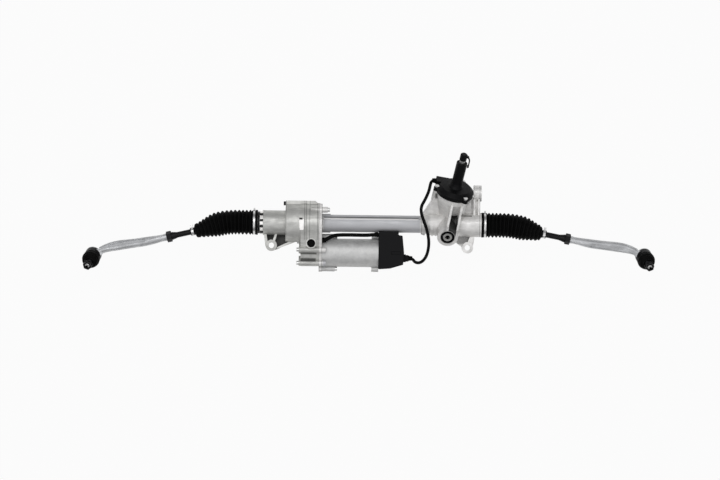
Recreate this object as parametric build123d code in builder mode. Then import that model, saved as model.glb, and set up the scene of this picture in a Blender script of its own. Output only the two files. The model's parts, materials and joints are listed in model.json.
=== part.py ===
from build123d import *
import os
from math import atan, cos, degrees, pi, radians, sin, sqrt, tan

# Electric power steering rack with a motor beside it that drives a ball nut through a belt.
# Millimetres. The origin is midway between the two mounting ears, on the flat faces they bolt
# down by. X runs along the rack, Z points up out of the ears, and the ears lie on the -Y side.

# ---------------------------------------------------------------- driving dimensions
fit = 0.05              # radial play of a running fit
seat_gap = 0.3          # gap where a piece of one body lies on a piece of another

# mounting ears and the surface the whole part lies on
ear_spacing = 451
ear_bore_r = 6.5
ear_boss_r = 13
ear_height = 30
floor_z = -30

# rack line
rack_y = 52.5
rack_z = 20
rack_shift = -3         # rack drawn this far left of straight ahead
rack_r = 14
screw_r = 12.4          # root of the ball screw
screw_right = -55       # where the screw ends and the plain bar begins
ball_span = 608         # between the two inner ball centres
socket_r = 19.5
socket_back = 28        # ball centre to the back of its socket
rack_stub_r = 7
stub_length = 20

# tube and pinion housing
tube_r = 19.75
rack_bore_r = 16
tube_start = -90
housing_end = 256.6     # right face of the pinion housing
neck_r = 25             # necks that the bellows are clamped to
neck_tip = 268.5        # both ends, from the middle of the ears
socket_bore_r = 22.4    # lets the inner ball sockets slide in
socket_bore_start = 203
collar_r = 27.5
flare_start = 118
flare_end = 142
ridge_width = 2.4
ridge_height = 4

# pinion line
pinion_x = 178.6
pinion_lean = 13        # to the right, seen from above
pinion_rise = 32        # above the mounting plane
gear_offset = 17        # rack axis to pinion axis
module = 2.0
teeth = 8
pressure_angle = 25
profile_shift = 0.3
tooth_addendum = 2.2
backlash = 0.06
rack_addendum = 2
rack_dedendum = 2.5
toothed_start = 88
toothed_end = 263
gear_half = 14
gear_cavity_r = 11.6
lower_bearing_r = 12
lower_bearing_start = -32
lower_bearing_end = -19
lower_journal_r = 8
lower_end = -40
upper_bearing_r = 20
upper_bearing_start = 17
upper_bearing_end = 29
upper_journal_r = 8.5
retainer_end = 34
pinion_head_end = 46
pinion_head_r = 12
sensor_start = 54
sensor_cavity_r = 32
sensor_flange_start = 66
sensor_flange_end = 78
sensor_flange_r = 43
cover_end = 95
cover_wall = 3
cover_screw_circle = 42.5
cover_screw_r = 2.5
screw_seat = 86
tower_r = 12.4
tower_end = 160
input_r = 7
input_bore_r = 4
torsion_r = 3
spline_start = 158
input_end = 180
cap_r = 8.2
cap_start = 168
cap_end = 184

# yoke line
yoke_r = 15.5
yoke_far = 34
plug_r = 17
plug_start = 39
plug_end = 54
yoke_boss_r = 24

# servo: ball nut, belt and motor
left_cylinder_r = 28
neck_end = -245
barrel_start = -193
barrel_r = 44
split_x = -116          # joint between the two housings
case_left = -158
case_right = -109
case_r = 45
case_wall = 4.5
motor_y = -15
motor_z = 8
motor_end_r = 32
bolt_circle = 44.5
bolt_turn = 46          # the two short bolts, either side of the long one
bolt_boss_r = 6.5
bolt_boss_rise = 12     # of the short bolts' bosses, above the right housing's flange
bolt_r = 3
bolt_head_r = 4.7
bolt_head_height = 5
bolt_depth = 14         # into the far housing
nut_start = -190
nut_end = -126
nut_bore_r = 18.1
nut_r = 22
nut_bearing_r = 40
nut_bearing_start = -187
nut_bearing_end = -170
screw_ball_r = 2.75
screw_lead = 7
belt_centre = -140.5
belt_width = 22
belt_thickness = 3
big_pulley_r = 35
small_pulley_r = 13.2

# motor and control unit
motor_r = 32.5
motor_end = 21
motor_pilot_r = 22
motor_pilot_depth = 3
motor_bolt_offset = 37.3
motor_boss_r = 6
motor_wall = 3
rotor_r = 17
stator_bore_r = 17.6
motor_shaft_r = 6
ecu_length = 59
ecu_top = 31.5
ecu_bottom = -52
ecu_high = 40
ecu_wall = 3

# tie rods
left_angle = 12.9       # swung towards -Y, seen from above
right_angle = 10.8
droop = 4.8             # swung down
inner_ball_r = 14
seat_wall = 2.8
rod_r = 6.5
end_along = 343         # inner ball to outer ball, along the rod
end_aside = 7           # and beside it
lock_nut_at = 153
lock_nut_length = 11
arm_r = 9.2
outer_ball_r = 11
end_housing_r = 19
stud_length = 48

# bellows
cuff_start = 257
cuff_lip = 5.4
cuff_wall = 2
cuff_r = 8.7            # of the small end, on the rod
bellows_r = 28.5
bellows_valley_r = 24.5
bellows_wall = 1.6
bellows_pitch = 8.6
bellows_straight = 36   # inner ball to the end of the straight folds
bellows_cuff = 8        # length of the small end
bellows_tip_r = 13
bellows_length = 104    # inner ball to the small clamp
clamp_width = 4.6

# The bellows' cone, between its straight folds and its small end: how far along, how far it is
# set aside of the rod's line, and its radius.
cone_sections = [(0.3, -4.5, 24), (0.62, -2.5, 19.5), (0.85, -1, 15.5)]

# cables
cable_r = 3.6
hose_r = 4.2

os.makedirs("parts", exist_ok=True)

# ---------------------------------------------------------------- frames
RACK = Plane(origin=(0, rack_y, rack_z), x_dir=(0, 1, 0), z_dir=(1, 0, 0))
MOTOR = Plane(origin=(0, motor_y, motor_z), x_dir=(0, 1, 0), z_dir=(1, 0, 0))

pinion_dir = Vector(
    sin(radians(pinion_lean)) * cos(radians(pinion_rise)),
    cos(radians(pinion_lean)) * cos(radians(pinion_rise)),
    sin(radians(pinion_rise)),
)
yoke_dir = Vector(1, 0, 0).cross(pinion_dir).normalized()
rack_mid = Vector(pinion_x, rack_y, rack_z)
PINION = Plane(origin=rack_mid - yoke_dir * gear_offset, x_dir=yoke_dir, z_dir=pinion_dir)
YOKE = Plane(origin=rack_mid, x_dir=(1, 0, 0), z_dir=yoke_dir)


def rod_plane(side):
    """The frame of one tie rod: its centre in the inner ball and its normal out along the rod."""
    angle = radians(left_angle if side < 0 else right_angle)
    fall = radians(droop)
    out = Vector(side * cos(angle) * cos(fall), -sin(angle) * cos(fall), -sin(fall))
    centre = Vector(rack_shift + side * ball_span / 2, rack_y, rack_z)
    across = out.cross(Vector(0, 0, 1)) * side
    return Plane(origin=centre, x_dir=across.normalized(), z_dir=out)


def end_plane(side):
    """The frame of one outer ball joint: its centre in the ball and its normal up the stud."""
    rod = rod_plane(side)
    up = rod.z_dir.cross(rod.x_dir) * -side
    stud = rod.z_dir * 0.236 + rod.x_dir * 0.425 + up * 0.874
    centre = rod.origin + rod.z_dir * end_along + rod.x_dir * end_aside
    return Plane(origin=centre, x_dir=rod.z_dir.cross(stud).normalized(), z_dir=stud)


# ---------------------------------------------------------------- shared shapes
def bar(plane, start, end, radius, mode=Mode.ADD):
    """A round bar along the plane's normal."""
    with Locations(plane.offset(start)):
        Cylinder(radius, end - start, align=(Align.CENTER, Align.CENTER, Align.MIN), mode=mode)


def taper(plane, start, end, first_r, last_r, mode=Mode.ADD):
    """A round taper along the plane's normal."""
    with Locations(plane.offset(start)):
        Cone(first_r, last_r, end - start, align=(Align.CENTER, Align.CENTER, Align.MIN), mode=mode)


def ring(plane, start, end, radius, bore):
    """A round bar with a hole through it."""
    bar(plane, start, end, radius)
    bar(plane, start, end, bore, mode=Mode.SUBTRACT)


def turned(plane, points, mode=Mode.ADD):
    """An outline of (radius, height) points spun about the plane's normal."""
    upright = Plane(origin=plane.origin, x_dir=plane.x_dir, z_dir=-plane.y_dir)
    with BuildSketch(upright) as outline:
        with BuildLine():
            Polyline(*points, close=True)
        make_face()
    revolve(outline.sketch, axis=Axis(plane.origin, plane.z_dir), mode=mode)


def ball(plane, radius, mode=Mode.ADD):
    """A sphere about the plane's origin."""
    with Locations(plane):
        Sphere(radius, mode=mode)


def plate(plane, points, thickness, mode=Mode.ADD):
    """A flat plate with corners at the points, thickened both ways from the plane."""
    with BuildSketch(plane) as outline:
        with BuildLine():
            Polyline(*points, close=True)
        make_face()
    extrude(outline.sketch, amount=thickness / 2, both=True, mode=mode)


def belt_run(start, end, rack_radius, motor_radius, mode=Mode.ADD):
    """A block whose outline wraps the rack line and the motor line, as a belt does."""
    with BuildSketch(RACK.offset(start)) as outline:
        Circle(rack_radius)
        with Locations((motor_y - rack_y, motor_z - rack_z)):
            Circle(motor_radius)
        make_hull()
    extrude(outline.sketch, amount=end - start, mode=mode)


def finish(piece, name):
    """Labels a finished piece and writes it out."""
    piece.part.label = name
    export_step(piece.part, f"parts/{name}.step")


def cross_plane(x):
    """A plane square to the rack, with its first axis along Y and its second along Z."""
    return Plane(origin=(x, 0, 0), x_dir=(0, 1, 0), z_dir=(1, 0, 0))


# Bolts that hold the two housings together: three at the motor end of the case go in from the
# left, and two short ones beside the barrel from the right.
case_bolts = [(-61.5, 27.1), (-92, 19), (-43.5, -43.5)]
case_lug_rise = 4
short_bolts = [
    (bolt_circle * cos(radians(turn)), bolt_circle * sin(radians(turn)))
    for turn in (bolt_turn, -bolt_turn)
]


def joint_bosses(places, start, end, radius, mode=Mode.ADD):
    """A round boss or hole at each bolt of the housing joint."""
    with BuildSketch(RACK.offset(start)) as outline:
        with Locations(*places):
            Circle(radius)
    extrude(outline.sketch, amount=end - start, mode=mode)


def case_lugs(start, end):
    """The lugs that carry the case bolts, each joined to the case by a web towards the motor line."""
    motor_place = (motor_y - rack_y, motor_z - rack_z)
    for place in case_bolts:
        inner = tuple(0.4 * at + 0.6 * towards for at, towards in zip(motor_place, place))
        with BuildSketch(RACK.offset(start)) as outline:
            with Locations(place):
                Circle(bolt_boss_r)
            with Locations(inner):
                Circle(bolt_boss_r)
            make_hull()
        extrude(outline.sketch, amount=end - start)


def cover_screw_posts(start, end, radius, mode=Mode.ADD):
    """A round post or hole at each of the three screws of the sensor cover."""
    with Locations(PINION.offset(start)):
        with PolarLocations(cover_screw_circle, 3, start_angle=33):
            Cylinder(radius, end - start, align=(Align.CENTER, Align.CENTER, Align.MIN), mode=mode)


def motor_bosses(start, end, radius, mode=Mode.ADD):
    """A round boss or hole above and below the motor."""
    with BuildSketch(MOTOR.offset(start)) as outline:
        with Locations((motor_bolt_offset, 0), (-motor_bolt_offset, 0)):
            Circle(radius)
    extrude(outline.sketch, amount=end - start, mode=mode)


# ---------------------------------------------------------------- rack housing
half_spacing = ear_spacing / 2
lug_y = 125
lug_z = 18
lug_r = 18.5
lug_start = 238
lug_bore_r = 6
lug_middle = (lug_start + housing_end) / 2
arm_wall = 4
rack_side_r = 25
tower_foot_r = 26
tower_neck_r = 41
post_r = 7
rib_places = (-4, 19)
rib_wall = 5
rib_outline = [(0, 0), (64, -6), (64, -18), (44, -70), (0, -70)]
flange_rim = 3

with BuildPart() as rack_housing:
    # tube with a long ridge, and its collar at the servo end
    bar(RACK, case_right, pinion_x, tube_r)
    bar(RACK, case_right, tube_start, tube_r + 2)
    taper(RACK, flare_start, flare_end, tube_r, rack_side_r)
    with Locations(((tube_start + flare_start) / 2, rack_y + 9, rack_z + tube_r - 3)):
        Box(flare_start - tube_start + 14, ridge_width, ridge_height)
    # flange that closes the belt case and carries the motor
    belt_run(split_x, case_right, case_r, motor_end_r)
    bar(RACK, split_x, split_x + flange_rim, case_r + 1)
    case_lugs(split_x, case_right)
    joint_bosses(case_bolts, split_x, split_x + bolt_depth + 2, bolt_boss_r)
    joint_bosses(short_bolts, split_x, case_right + bolt_boss_rise, bolt_boss_r)
    motor_bosses(split_x, case_right, motor_boss_r + 1)
    # rack cylinder with its rings, and the collar on the pinion side
    bar(RACK, flare_end - 3, housing_end, rack_side_r)
    for start in (flare_end, flare_end + 9):
        bar(RACK, start, start + 3, rack_side_r + 1.6)
    bar(RACK, 196, housing_end, collar_r)
    bar(RACK, housing_end, neck_tip, neck_r)
    # yoke boss
    bar(YOKE, 0, plug_end - 1, yoke_boss_r)
    # pinion tower
    bar(PINION, lower_end, upper_bearing_start, 17)
    bar(PINION, 10, 36, tower_foot_r)
    taper(PINION, 24, sensor_flange_start, tower_foot_r + 1, tower_neck_r)
    bar(PINION, sensor_flange_start, sensor_flange_end, tower_neck_r)
    cover_screw_posts(sensor_flange_start - 14, sensor_flange_end, post_r)
    # twin ribs between tower and yoke boss
    for across in rib_places:
        origin = PINION.origin + PINION.y_dir * across
        plate(Plane(origin=origin, x_dir=yoke_dir, z_dir=PINION.y_dir), rib_outline, rib_wall)
    # side web that carries the tower, and its tongue below the tube
    web = Plane(origin=PINION.origin, x_dir=PINION.y_dir, z_dir=yoke_dir)
    plate(web.offset(6), [(-62, 5), (-41, 72), (40, 72), (58, 0)], 10)
    plate(web.offset(4), [(-61, 6), (-53, -44), (-44, -46), (-38, 0)], 6)
    # ear, its floor and its triangular web
    with Locations((half_spacing, 0, 0)):
        Cylinder(ear_boss_r, ear_height, align=(Align.CENTER, Align.CENTER, Align.MIN))
    ear_floor = [(212, 2), (184, 22), (184, 50), (246, 50), (238, 2), (230, -10), (220, -11)]
    plate(Plane.XY.offset(8), ear_floor, 8)
    plate(Plane.XY.offset(14), [(234, 0), (246, 40), (238, 44), (224, 8)], 22)
    # upper lug and its hollow arm
    with Locations((lug_start, lug_y, lug_z)):
        Cylinder(lug_r, housing_end - lug_start, rotation=(0, 90, 0),
                 align=(Align.CENTER, Align.CENTER, Align.MIN))
    for wall_x in (lug_start + arm_wall / 2, housing_end - 6):
        plate(cross_plane(wall_x), [(60, 0), (60, 36), (112, 34), (112, 2)], arm_wall)
    arm_width = housing_end - lug_start - 6
    plate(cross_plane(lug_middle), [(60, 11), (60, 23), (112, 23), (112, 11)], arm_width)
    plate(Plane.XY.offset(lug_z), [(206, 74), (206, 104), (lug_start + 2, 118), (lug_start + 2, 74)], 8)
    # hollow spaces
    bar(RACK, split_x - 1, neck_tip + 1, rack_bore_r, mode=Mode.SUBTRACT)
    bar(RACK, socket_bore_start, neck_tip + 1, socket_bore_r, mode=Mode.SUBTRACT)
    joint_bosses(case_bolts, split_x - 1, split_x + bolt_depth + 1, bolt_r, mode=Mode.SUBTRACT)
    joint_bosses(short_bolts, split_x - 1, case_right + bolt_boss_rise + 1, bolt_r, mode=Mode.SUBTRACT)
    belt_run(split_x - 1, case_right - case_wall, case_r - case_wall, motor_end_r - case_wall,
             mode=Mode.SUBTRACT)
    bar(MOTOR, case_right - case_wall - 1, case_right + 1, motor_pilot_r + fit, mode=Mode.SUBTRACT)
    motor_bosses(split_x - 1, case_right + 1, bolt_r, mode=Mode.SUBTRACT)
    bar(PINION, lower_end - 1, gear_half, lower_bearing_r, mode=Mode.SUBTRACT)
    bar(PINION, gear_half, upper_bearing_start, gear_cavity_r, mode=Mode.SUBTRACT)
    bar(PINION, upper_bearing_start, sensor_start, upper_bearing_r, mode=Mode.SUBTRACT)
    bar(PINION, sensor_start, sensor_flange_end + 1, sensor_cavity_r, mode=Mode.SUBTRACT)
    cover_screw_posts(sensor_flange_end - 10, sensor_flange_end + 1, cover_screw_r, mode=Mode.SUBTRACT)
    bar(YOKE, 0, plug_end, yoke_r + fit, mode=Mode.SUBTRACT)
    bar(YOKE, plug_start - 1, plug_end, plug_r, mode=Mode.SUBTRACT)
    with Locations((half_spacing, 0, 0)):
        Cylinder(ear_bore_r, 3 * ear_height, mode=Mode.SUBTRACT)
    with Locations((lug_start, lug_y, lug_z)):
        Cylinder(lug_bore_r, 3 * lug_r, rotation=(0, 90, 0), mode=Mode.SUBTRACT)
finish(rack_housing, "rack_housing")


# ---------------------------------------------------------------- servo housing
front_boss = (-133.7, 6)
front_boss_r = 12.2
front_boss_top = 56
front_recess_r = 9.5
front_recess_depth = 9.5
gallery_plug = (44.5, 0)
gallery_depth = 14
pad_top = rack_y + 51
pad_foot = rack_y + 30
pad_width = 19
short_boss_start = split_x - bolt_depth - 4

with BuildPart() as servo_housing:
    bar(RACK, -neck_tip, barrel_start, neck_r)
    bar(RACK, neck_end, barrel_start, left_cylinder_r)
    bar(RACK, neck_end, neck_end + 2, left_cylinder_r + 0.8)
    bar(RACK, barrel_start, split_x, barrel_r)
    belt_run(case_left, split_x, case_r, motor_end_r)
    case_lugs(case_left - case_lug_rise, split_x)
    joint_bosses(case_bolts, case_left - case_lug_rise, split_x, bolt_boss_r)
    joint_bosses(short_bolts, short_boss_start, split_x, bolt_boss_r)
    # rings turned on the barrel and the rim of its open end
    for start in (case_left + 10, case_left + 18):
        bar(RACK, start, start + 2, case_r + 0.8)
    bar(RACK, split_x - flange_rim, split_x, case_r + 1)
    # pad along the barrel, sloped at its right end, and the small pad on top
    plate(Plane.XY.offset(rack_z), [(barrel_start, pad_foot), (barrel_start, pad_top),
                                    (split_x - 9, pad_top), (split_x, pad_top - 8),
                                    (split_x, pad_foot)], pad_width)
    with Locations((case_left + 2, rack_y - 4, rack_z + barrel_r - 2)):
        Box(8, 24, 7)
    # neck ribs under the bellows bead
    with Locations(RACK.offset(neck_end - 7)):
        with PolarLocations(left_cylinder_r - 3, 8):
            Box(4, 8, 8, align=(Align.CENTER, Align.CENTER, Align.MIN))
    # boss with a round recess on the case
    with Locations(front_boss):
        Cylinder(front_boss_r, front_boss_top, align=(Align.CENTER, Align.CENTER, Align.MIN))
    # ear with its floor and three ribs
    with Locations((-half_spacing, 0, 0)):
        Cylinder(ear_boss_r, ear_height, align=(Align.CENTER, Align.CENTER, Align.MIN))
    ear_floor = [(-243, 34), (-238, -4), (-226, -12), (-212, -9), (-170, 12), (-170, 34)]
    plate(Plane.XY.offset(4), ear_floor, 5)
    for rib in ([(-245, 40), (-239, 40), (-233, 2), (-239, -2)],
                [(-213, 40), (-208, 40), (-219, 4), (-224, 6)],
                [(-214, -9), (-212, -4), (-170, 16), (-166, 10)]):
        plate(Plane.XY.offset(14.5), rib, 26)
    # foot under the barrel
    with Locations((-168, rack_y, floor_z)):
        Box(30, 34, 8, align=(Align.CENTER, Align.CENTER, Align.MIN))
    # hollow spaces
    bar(RACK, -neck_tip - 1, -socket_bore_start, socket_bore_r, mode=Mode.SUBTRACT)
    bar(RACK, -neck_tip, nut_start, rack_bore_r, mode=Mode.SUBTRACT)
    joint_bosses(case_bolts, case_left - case_lug_rise - 1, split_x + 1, bolt_r, mode=Mode.SUBTRACT)
    joint_bosses(short_bolts, split_x - bolt_depth - 1, split_x + 1, bolt_r, mode=Mode.SUBTRACT)
    joint_bosses([gallery_plug], barrel_start - 1, barrel_start + gallery_depth, bolt_r, mode=Mode.SUBTRACT)
    bar(RACK, nut_start, split_x + 1, nut_bearing_r + fit, mode=Mode.SUBTRACT)
    belt_run(case_left + case_wall, split_x + 1, case_r - case_wall, motor_end_r - case_wall,
             mode=Mode.SUBTRACT)
    with Locations((front_boss[0], front_boss[1], front_boss_top)):
        Cylinder(front_recess_r, 2 * front_recess_depth, mode=Mode.SUBTRACT)
    with Locations((-half_spacing, 0, 0)):
        Cylinder(ear_bore_r, 3 * ear_height, mode=Mode.SUBTRACT)
finish(servo_housing, "servo_housing")

# ---------------------------------------------------------------- housing bolts
bolt_socket_r = 2.5
bolt_socket_depth = 3


def bolt(place, seat, side, length):
    """A bolt along the rack: its head stands on the seat and its shank goes the other way."""
    origin = RACK.offset(seat).from_local_coords((*place, 0))
    line = Plane(origin=origin, x_dir=(0, 1, 0), z_dir=(side, 0, 0))
    bar(line, 0, bolt_head_height, bolt_head_r)
    bar(line, -length, 0.1, bolt_r)
    bar(line, bolt_head_height - bolt_socket_depth, bolt_head_height + 1, bolt_socket_r, mode=Mode.SUBTRACT)


with BuildPart() as housing_bolts:
    for place in case_bolts:
        seat = case_left - case_lug_rise
        bolt(place, seat, -1, split_x + bolt_depth - seat)
    for place in short_bolts:
        seat = case_right + bolt_boss_rise
        bolt(place, seat, 1, seat - split_x + bolt_depth)
    bolt(gallery_plug, barrel_start, -1, gallery_depth - 2)
finish(housing_bolts, "housing_bolts")

# ---------------------------------------------------------------- ball nut and belt drive
nut_collar_r = 26.4
nut_ball_r = 3.5
nut_ball_circle = 30
nut_ball_count = 14
screw_ball_circle = screw_r + fit + screw_ball_r
screw_ball_count = 18
wiper_bore_r = screw_r + 0.4
pulley_half = belt_width / 2 + 1.5

with BuildPart() as ball_nut:
    bar(RACK, nut_start + 1, nut_end, nut_r)
    bar(RACK, nut_bearing_start, nut_bearing_end, nut_collar_r)
    bar(RACK, nut_start, nut_end + 1, wiper_bore_r, mode=Mode.SUBTRACT)
    bar(RACK, nut_start + 6, nut_end - 6, nut_bore_r, mode=Mode.SUBTRACT)
finish(ball_nut, "ball_nut")

with BuildPart() as screw_balls:
    for index in range(screw_ball_count):
        turn = 2 * pi * index / (screw_ball_count - 1) * 1.08
        along = (nut_start + nut_end) / 2 + screw_lead * turn / (2 * pi)
        local = (screw_ball_circle * cos(turn), screw_ball_circle * sin(turn), along)
        ball(Plane(origin=RACK.from_local_coords(local)), screw_ball_r)
finish(screw_balls, "screw_balls")

with BuildPart() as nut_bearing:
    ring(RACK, nut_bearing_start, nut_bearing_end, nut_bearing_r, nut_ball_circle + nut_ball_r + fit)
    for index in range(nut_ball_count):
        turn = 2 * pi * index / nut_ball_count
        middle = (nut_bearing_start + nut_bearing_end) / 2
        local = (nut_ball_circle * cos(turn), nut_ball_circle * sin(turn), middle)
        ball(Plane(origin=RACK.from_local_coords(local)), nut_ball_r)
finish(nut_bearing, "nut_bearing")

with BuildPart() as nut_pulley:
    ring(RACK, belt_centre - pulley_half, belt_centre + pulley_half, big_pulley_r, nut_r)
    for start in (belt_centre - pulley_half, belt_centre + pulley_half - 1):
        ring(RACK, start, start + 1, big_pulley_r + 2.5, nut_r)
finish(nut_pulley, "nut_pulley")

with BuildPart() as drive_belt:
    near = belt_centre - belt_width / 2
    far = belt_centre + belt_width / 2
    belt_run(near, far, big_pulley_r + fit + belt_thickness, small_pulley_r + fit + belt_thickness)
    belt_run(near, far, big_pulley_r + fit, small_pulley_r + fit, mode=Mode.SUBTRACT)
finish(drive_belt, "drive_belt")

with BuildPart() as motor_pulley:
    ring(MOTOR, belt_centre - pulley_half, belt_centre + pulley_half, small_pulley_r, motor_shaft_r)
    for start in (belt_centre - pulley_half, belt_centre + pulley_half - 1):
        ring(MOTOR, start, start + 1, small_pulley_r + 2.5, motor_shaft_r)
finish(motor_pulley, "motor_pulley")

# ---------------------------------------------------------------- motor
motor_front = case_right
bearing_width = 9
motor_bearing_r = 14
rotor_start = motor_front + 24
rotor_length = 74
lug_length = 30

with BuildPart() as motor_housing:
    bar(MOTOR, motor_front, motor_end, motor_r)
    bar(MOTOR, motor_front - motor_pilot_depth, motor_front, motor_pilot_r)
    motor_bosses(motor_front, motor_front + lug_length, motor_boss_r)
    motor_bosses(motor_end - 16, motor_end, motor_boss_r)
    bar(MOTOR, motor_front + 12, motor_end - 12, motor_r - motor_wall, mode=Mode.SUBTRACT)
    bar(MOTOR, motor_front + 12 - bearing_width, motor_end, motor_bearing_r + fit, mode=Mode.SUBTRACT)
    bar(MOTOR, motor_front - motor_pilot_depth, motor_end, motor_shaft_r + 2, mode=Mode.SUBTRACT)
    motor_bosses(motor_front - 1, motor_front + lug_length, bolt_r, mode=Mode.SUBTRACT)
finish(motor_housing, "motor_housing")

with BuildPart() as motor_bearings:
    for start in (motor_front + 12 - bearing_width, motor_end - 12):
        ring(MOTOR, start, start + bearing_width, motor_bearing_r, motor_shaft_r + fit)
finish(motor_bearings, "motor_bearings")

with BuildPart() as stator:
    ring(MOTOR, rotor_start - 4, rotor_start + rotor_length + 4, motor_r - motor_wall - fit, stator_bore_r)
finish(stator, "stator")

with BuildPart() as rotor:
    bar(MOTOR, belt_centre - pulley_half, motor_end - 2, motor_shaft_r)
    bar(MOTOR, rotor_start, rotor_start + rotor_length, rotor_r)
finish(rotor, "rotor")

with BuildPart() as motor_bolts:
    for across in (motor_bolt_offset, -motor_bolt_offset):
        seat = Plane(origin=MOTOR.offset(motor_front + lug_length).from_local_coords((across, 0, 0)),
                     x_dir=(0, 1, 0), z_dir=(1, 0, 0))
        bar(seat, 0, bolt_head_height, bolt_head_r)
        bar(seat, split_x + 1 - motor_front - lug_length, 0.1, bolt_r)
finish(motor_bolts, "motor_bolts")

# ---------------------------------------------------------------- control unit
ecu_outline = [(0, ecu_bottom), (27, ecu_bottom + 2), (ecu_length - 2, ecu_bottom + 11),
               (ecu_length, -14), (ecu_length - 4, 26), (46, 27), (46, ecu_top), (0, ecu_top)]
ecu_corner_r = 2
ecu_strip_top = 36
strip_length = 46
cover_height = 7
board_z = 12
board_posts_x = (13, 39)
board_posts_y = (-34, 18)
board_post_r = 3.5
plug_y = -26
plug_z = 14


def ecu_block(bottom, top, inset, mode=Mode.ADD):
    """The control unit's outline, drawn in by inset, from one height to another."""
    with BuildSketch(Plane.XY.offset(bottom)) as outline:
        with BuildLine():
            Polyline(*[(motor_end + x, y) for x, y in ecu_outline], close=True)
        make_face()
        fillet(outline.vertices(), ecu_corner_r)
        if inset:
            offset(amount=-inset, mode=Mode.REPLACE)
    extrude(outline.sketch, amount=top - bottom, mode=mode)


with BuildPart() as ecu_housing:
    ecu_block(floor_z, ecu_high - cover_height, 0)
    with Locations((motor_end + 56, plug_y, plug_z)):
        Box(14, 18, 16)
    ecu_block(floor_z + ecu_wall, ecu_high, ecu_wall, mode=Mode.SUBTRACT)
    with Locations((motor_end + 60, plug_y, plug_z)):
        Box(12, 13, 11, mode=Mode.SUBTRACT)
    # four posts that the board stands on
    with BuildSketch(Plane.XY.offset(floor_z + ecu_wall)) as posts:
        with Locations(*[(motor_end + x, y) for x in board_posts_x for y in board_posts_y]):
            Circle(board_post_r)
    extrude(posts.sketch, amount=board_z - floor_z - ecu_wall)
finish(ecu_housing, "ecu_housing")

with BuildPart() as ecu_cover:
    ecu_block(ecu_high - cover_height, ecu_high, 0)
    # strip over the tube, and a groove near the right edge
    strip_middle = (motor_end + strip_length / 2, (ecu_strip_top + ecu_top) / 2 - 1)
    with Locations((*strip_middle, ecu_high - cover_height / 2)):
        Box(strip_length, ecu_strip_top - ecu_top + 2, cover_height)
    with Locations((motor_end + 40, -14, ecu_high)):
        Box(20, 5, 3, mode=Mode.SUBTRACT)
    chamfer(ecu_cover.faces().sort_by(Axis.Z)[-1].edges(), 1)
    ecu_block(ecu_high - cover_height - 3, ecu_high - cover_height, ecu_wall + fit)
    ecu_block(ecu_high - cover_height - 4, ecu_high - 3, 2 * ecu_wall, mode=Mode.SUBTRACT)
finish(ecu_cover, "ecu_cover")

with BuildPart() as circuit_board:
    ecu_block(board_z, board_z + 1.6, ecu_wall + 5)
finish(circuit_board, "circuit_board")

# ---------------------------------------------------------------- rack and pinion
pitch_r = module * teeth / 2
base_r = pitch_r * cos(radians(pressure_angle))
root_r = 6.2
tip_r = pitch_r + tooth_addendum
tooth_pitch = pi * module
rack_line = pitch_r + profile_shift * module
rack_tip = rack_line - rack_addendum
rack_root = rack_line + rack_dedendum
slope = tan(radians(pressure_angle))
lean_along = RACK.z_dir.dot(PINION.y_dir)
groove_step = tooth_pitch / lean_along
first_groove = int((toothed_start - pinion_x) / groove_step)
last_groove = int((toothed_end - pinion_x) / groove_step)


def involute(radius):
    """The involute angle at a radius, from the base circle outwards."""
    reach = sqrt(max((radius / base_r) ** 2 - 1, 0))
    return reach - atan(reach)


def half_tooth(radius):
    """Half the angle that a pinion tooth takes up at a radius."""
    at_pitch = (tooth_pitch / 2 + 2 * profile_shift * module * slope - backlash) / (2 * pitch_r)
    return at_pitch + involute(pitch_r) - involute(radius)


def pinion_outline():
    """The corners of the pinion's section: both flanks of each tooth, from root to tip."""
    flank = [root_r, base_r] + [base_r + (tip_r - base_r) * step / 4 for step in (1, 2, 3, 4)]
    corners = []
    for index in range(teeth):
        middle = 2 * pi * index / teeth
        for radius in flank:
            turn = middle - half_tooth(radius)
            corners.append((radius * cos(turn), radius * sin(turn)))
        for radius in reversed(flank):
            turn = middle + half_tooth(radius)
            corners.append((radius * cos(turn), radius * sin(turn)))
    return corners


with BuildPart() as rack_bar:
    bar(RACK, screw_right, ball_span / 2 + rack_shift - socket_back, rack_r)
    bar(RACK, -ball_span / 2 + rack_shift + socket_back, screw_right, screw_r)
    # toothed flat on the pinion's side
    with Locations(YOKE):
        with Locations(((toothed_start + toothed_end) / 2 - pinion_x, 0, rack_tip - gear_offset - 10)):
            Box(toothed_end - toothed_start, 40, 20, mode=Mode.SUBTRACT)
    deep = tooth_pitch / 4 - rack_dedendum * slope + backlash / 2
    wide = tooth_pitch / 4 + (rack_addendum + 1) * slope + backlash / 2
    with BuildSketch(PINION) as grooves:
        with Locations(*[(0, tooth_pitch * index) for index in range(first_groove, last_groove + 1)]):
            Polygon((rack_root, deep), (rack_tip - 1, wide), (rack_tip - 1, -wide), (rack_root, -deep),
                    align=None)
    extrude(amount=45, both=True, mode=Mode.SUBTRACT)
    # threaded holes for the ball sockets
    for side in (-1, 1):
        end_x = rack_shift + side * (ball_span / 2 - socket_back)
        end = Plane(origin=(end_x, rack_y, rack_z), z_dir=(side, 0, 0))
        bar(end, -stub_length - 2, 1, rack_stub_r, mode=Mode.SUBTRACT)
finish(rack_bar, "rack_bar")

with BuildPart() as pinion_shaft:
    with BuildSketch(PINION.offset(-gear_half)) as gear:
        with BuildLine():
            Polyline(*pinion_outline(), close=True)
        make_face()
    extrude(amount=2 * gear_half)
    bar(PINION, lower_bearing_start - 1, -gear_half, lower_journal_r)
    bar(PINION, gear_half, retainer_end, upper_journal_r)
    bar(PINION, retainer_end, pinion_head_end, pinion_head_r)
    bar(PINION, 0, pinion_head_end + 1, torsion_r, mode=Mode.SUBTRACT)
    bar(PINION, pinion_head_end - 8, pinion_head_end + 1, input_r + fit, mode=Mode.SUBTRACT)
finish(pinion_shaft, "pinion_shaft")

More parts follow.
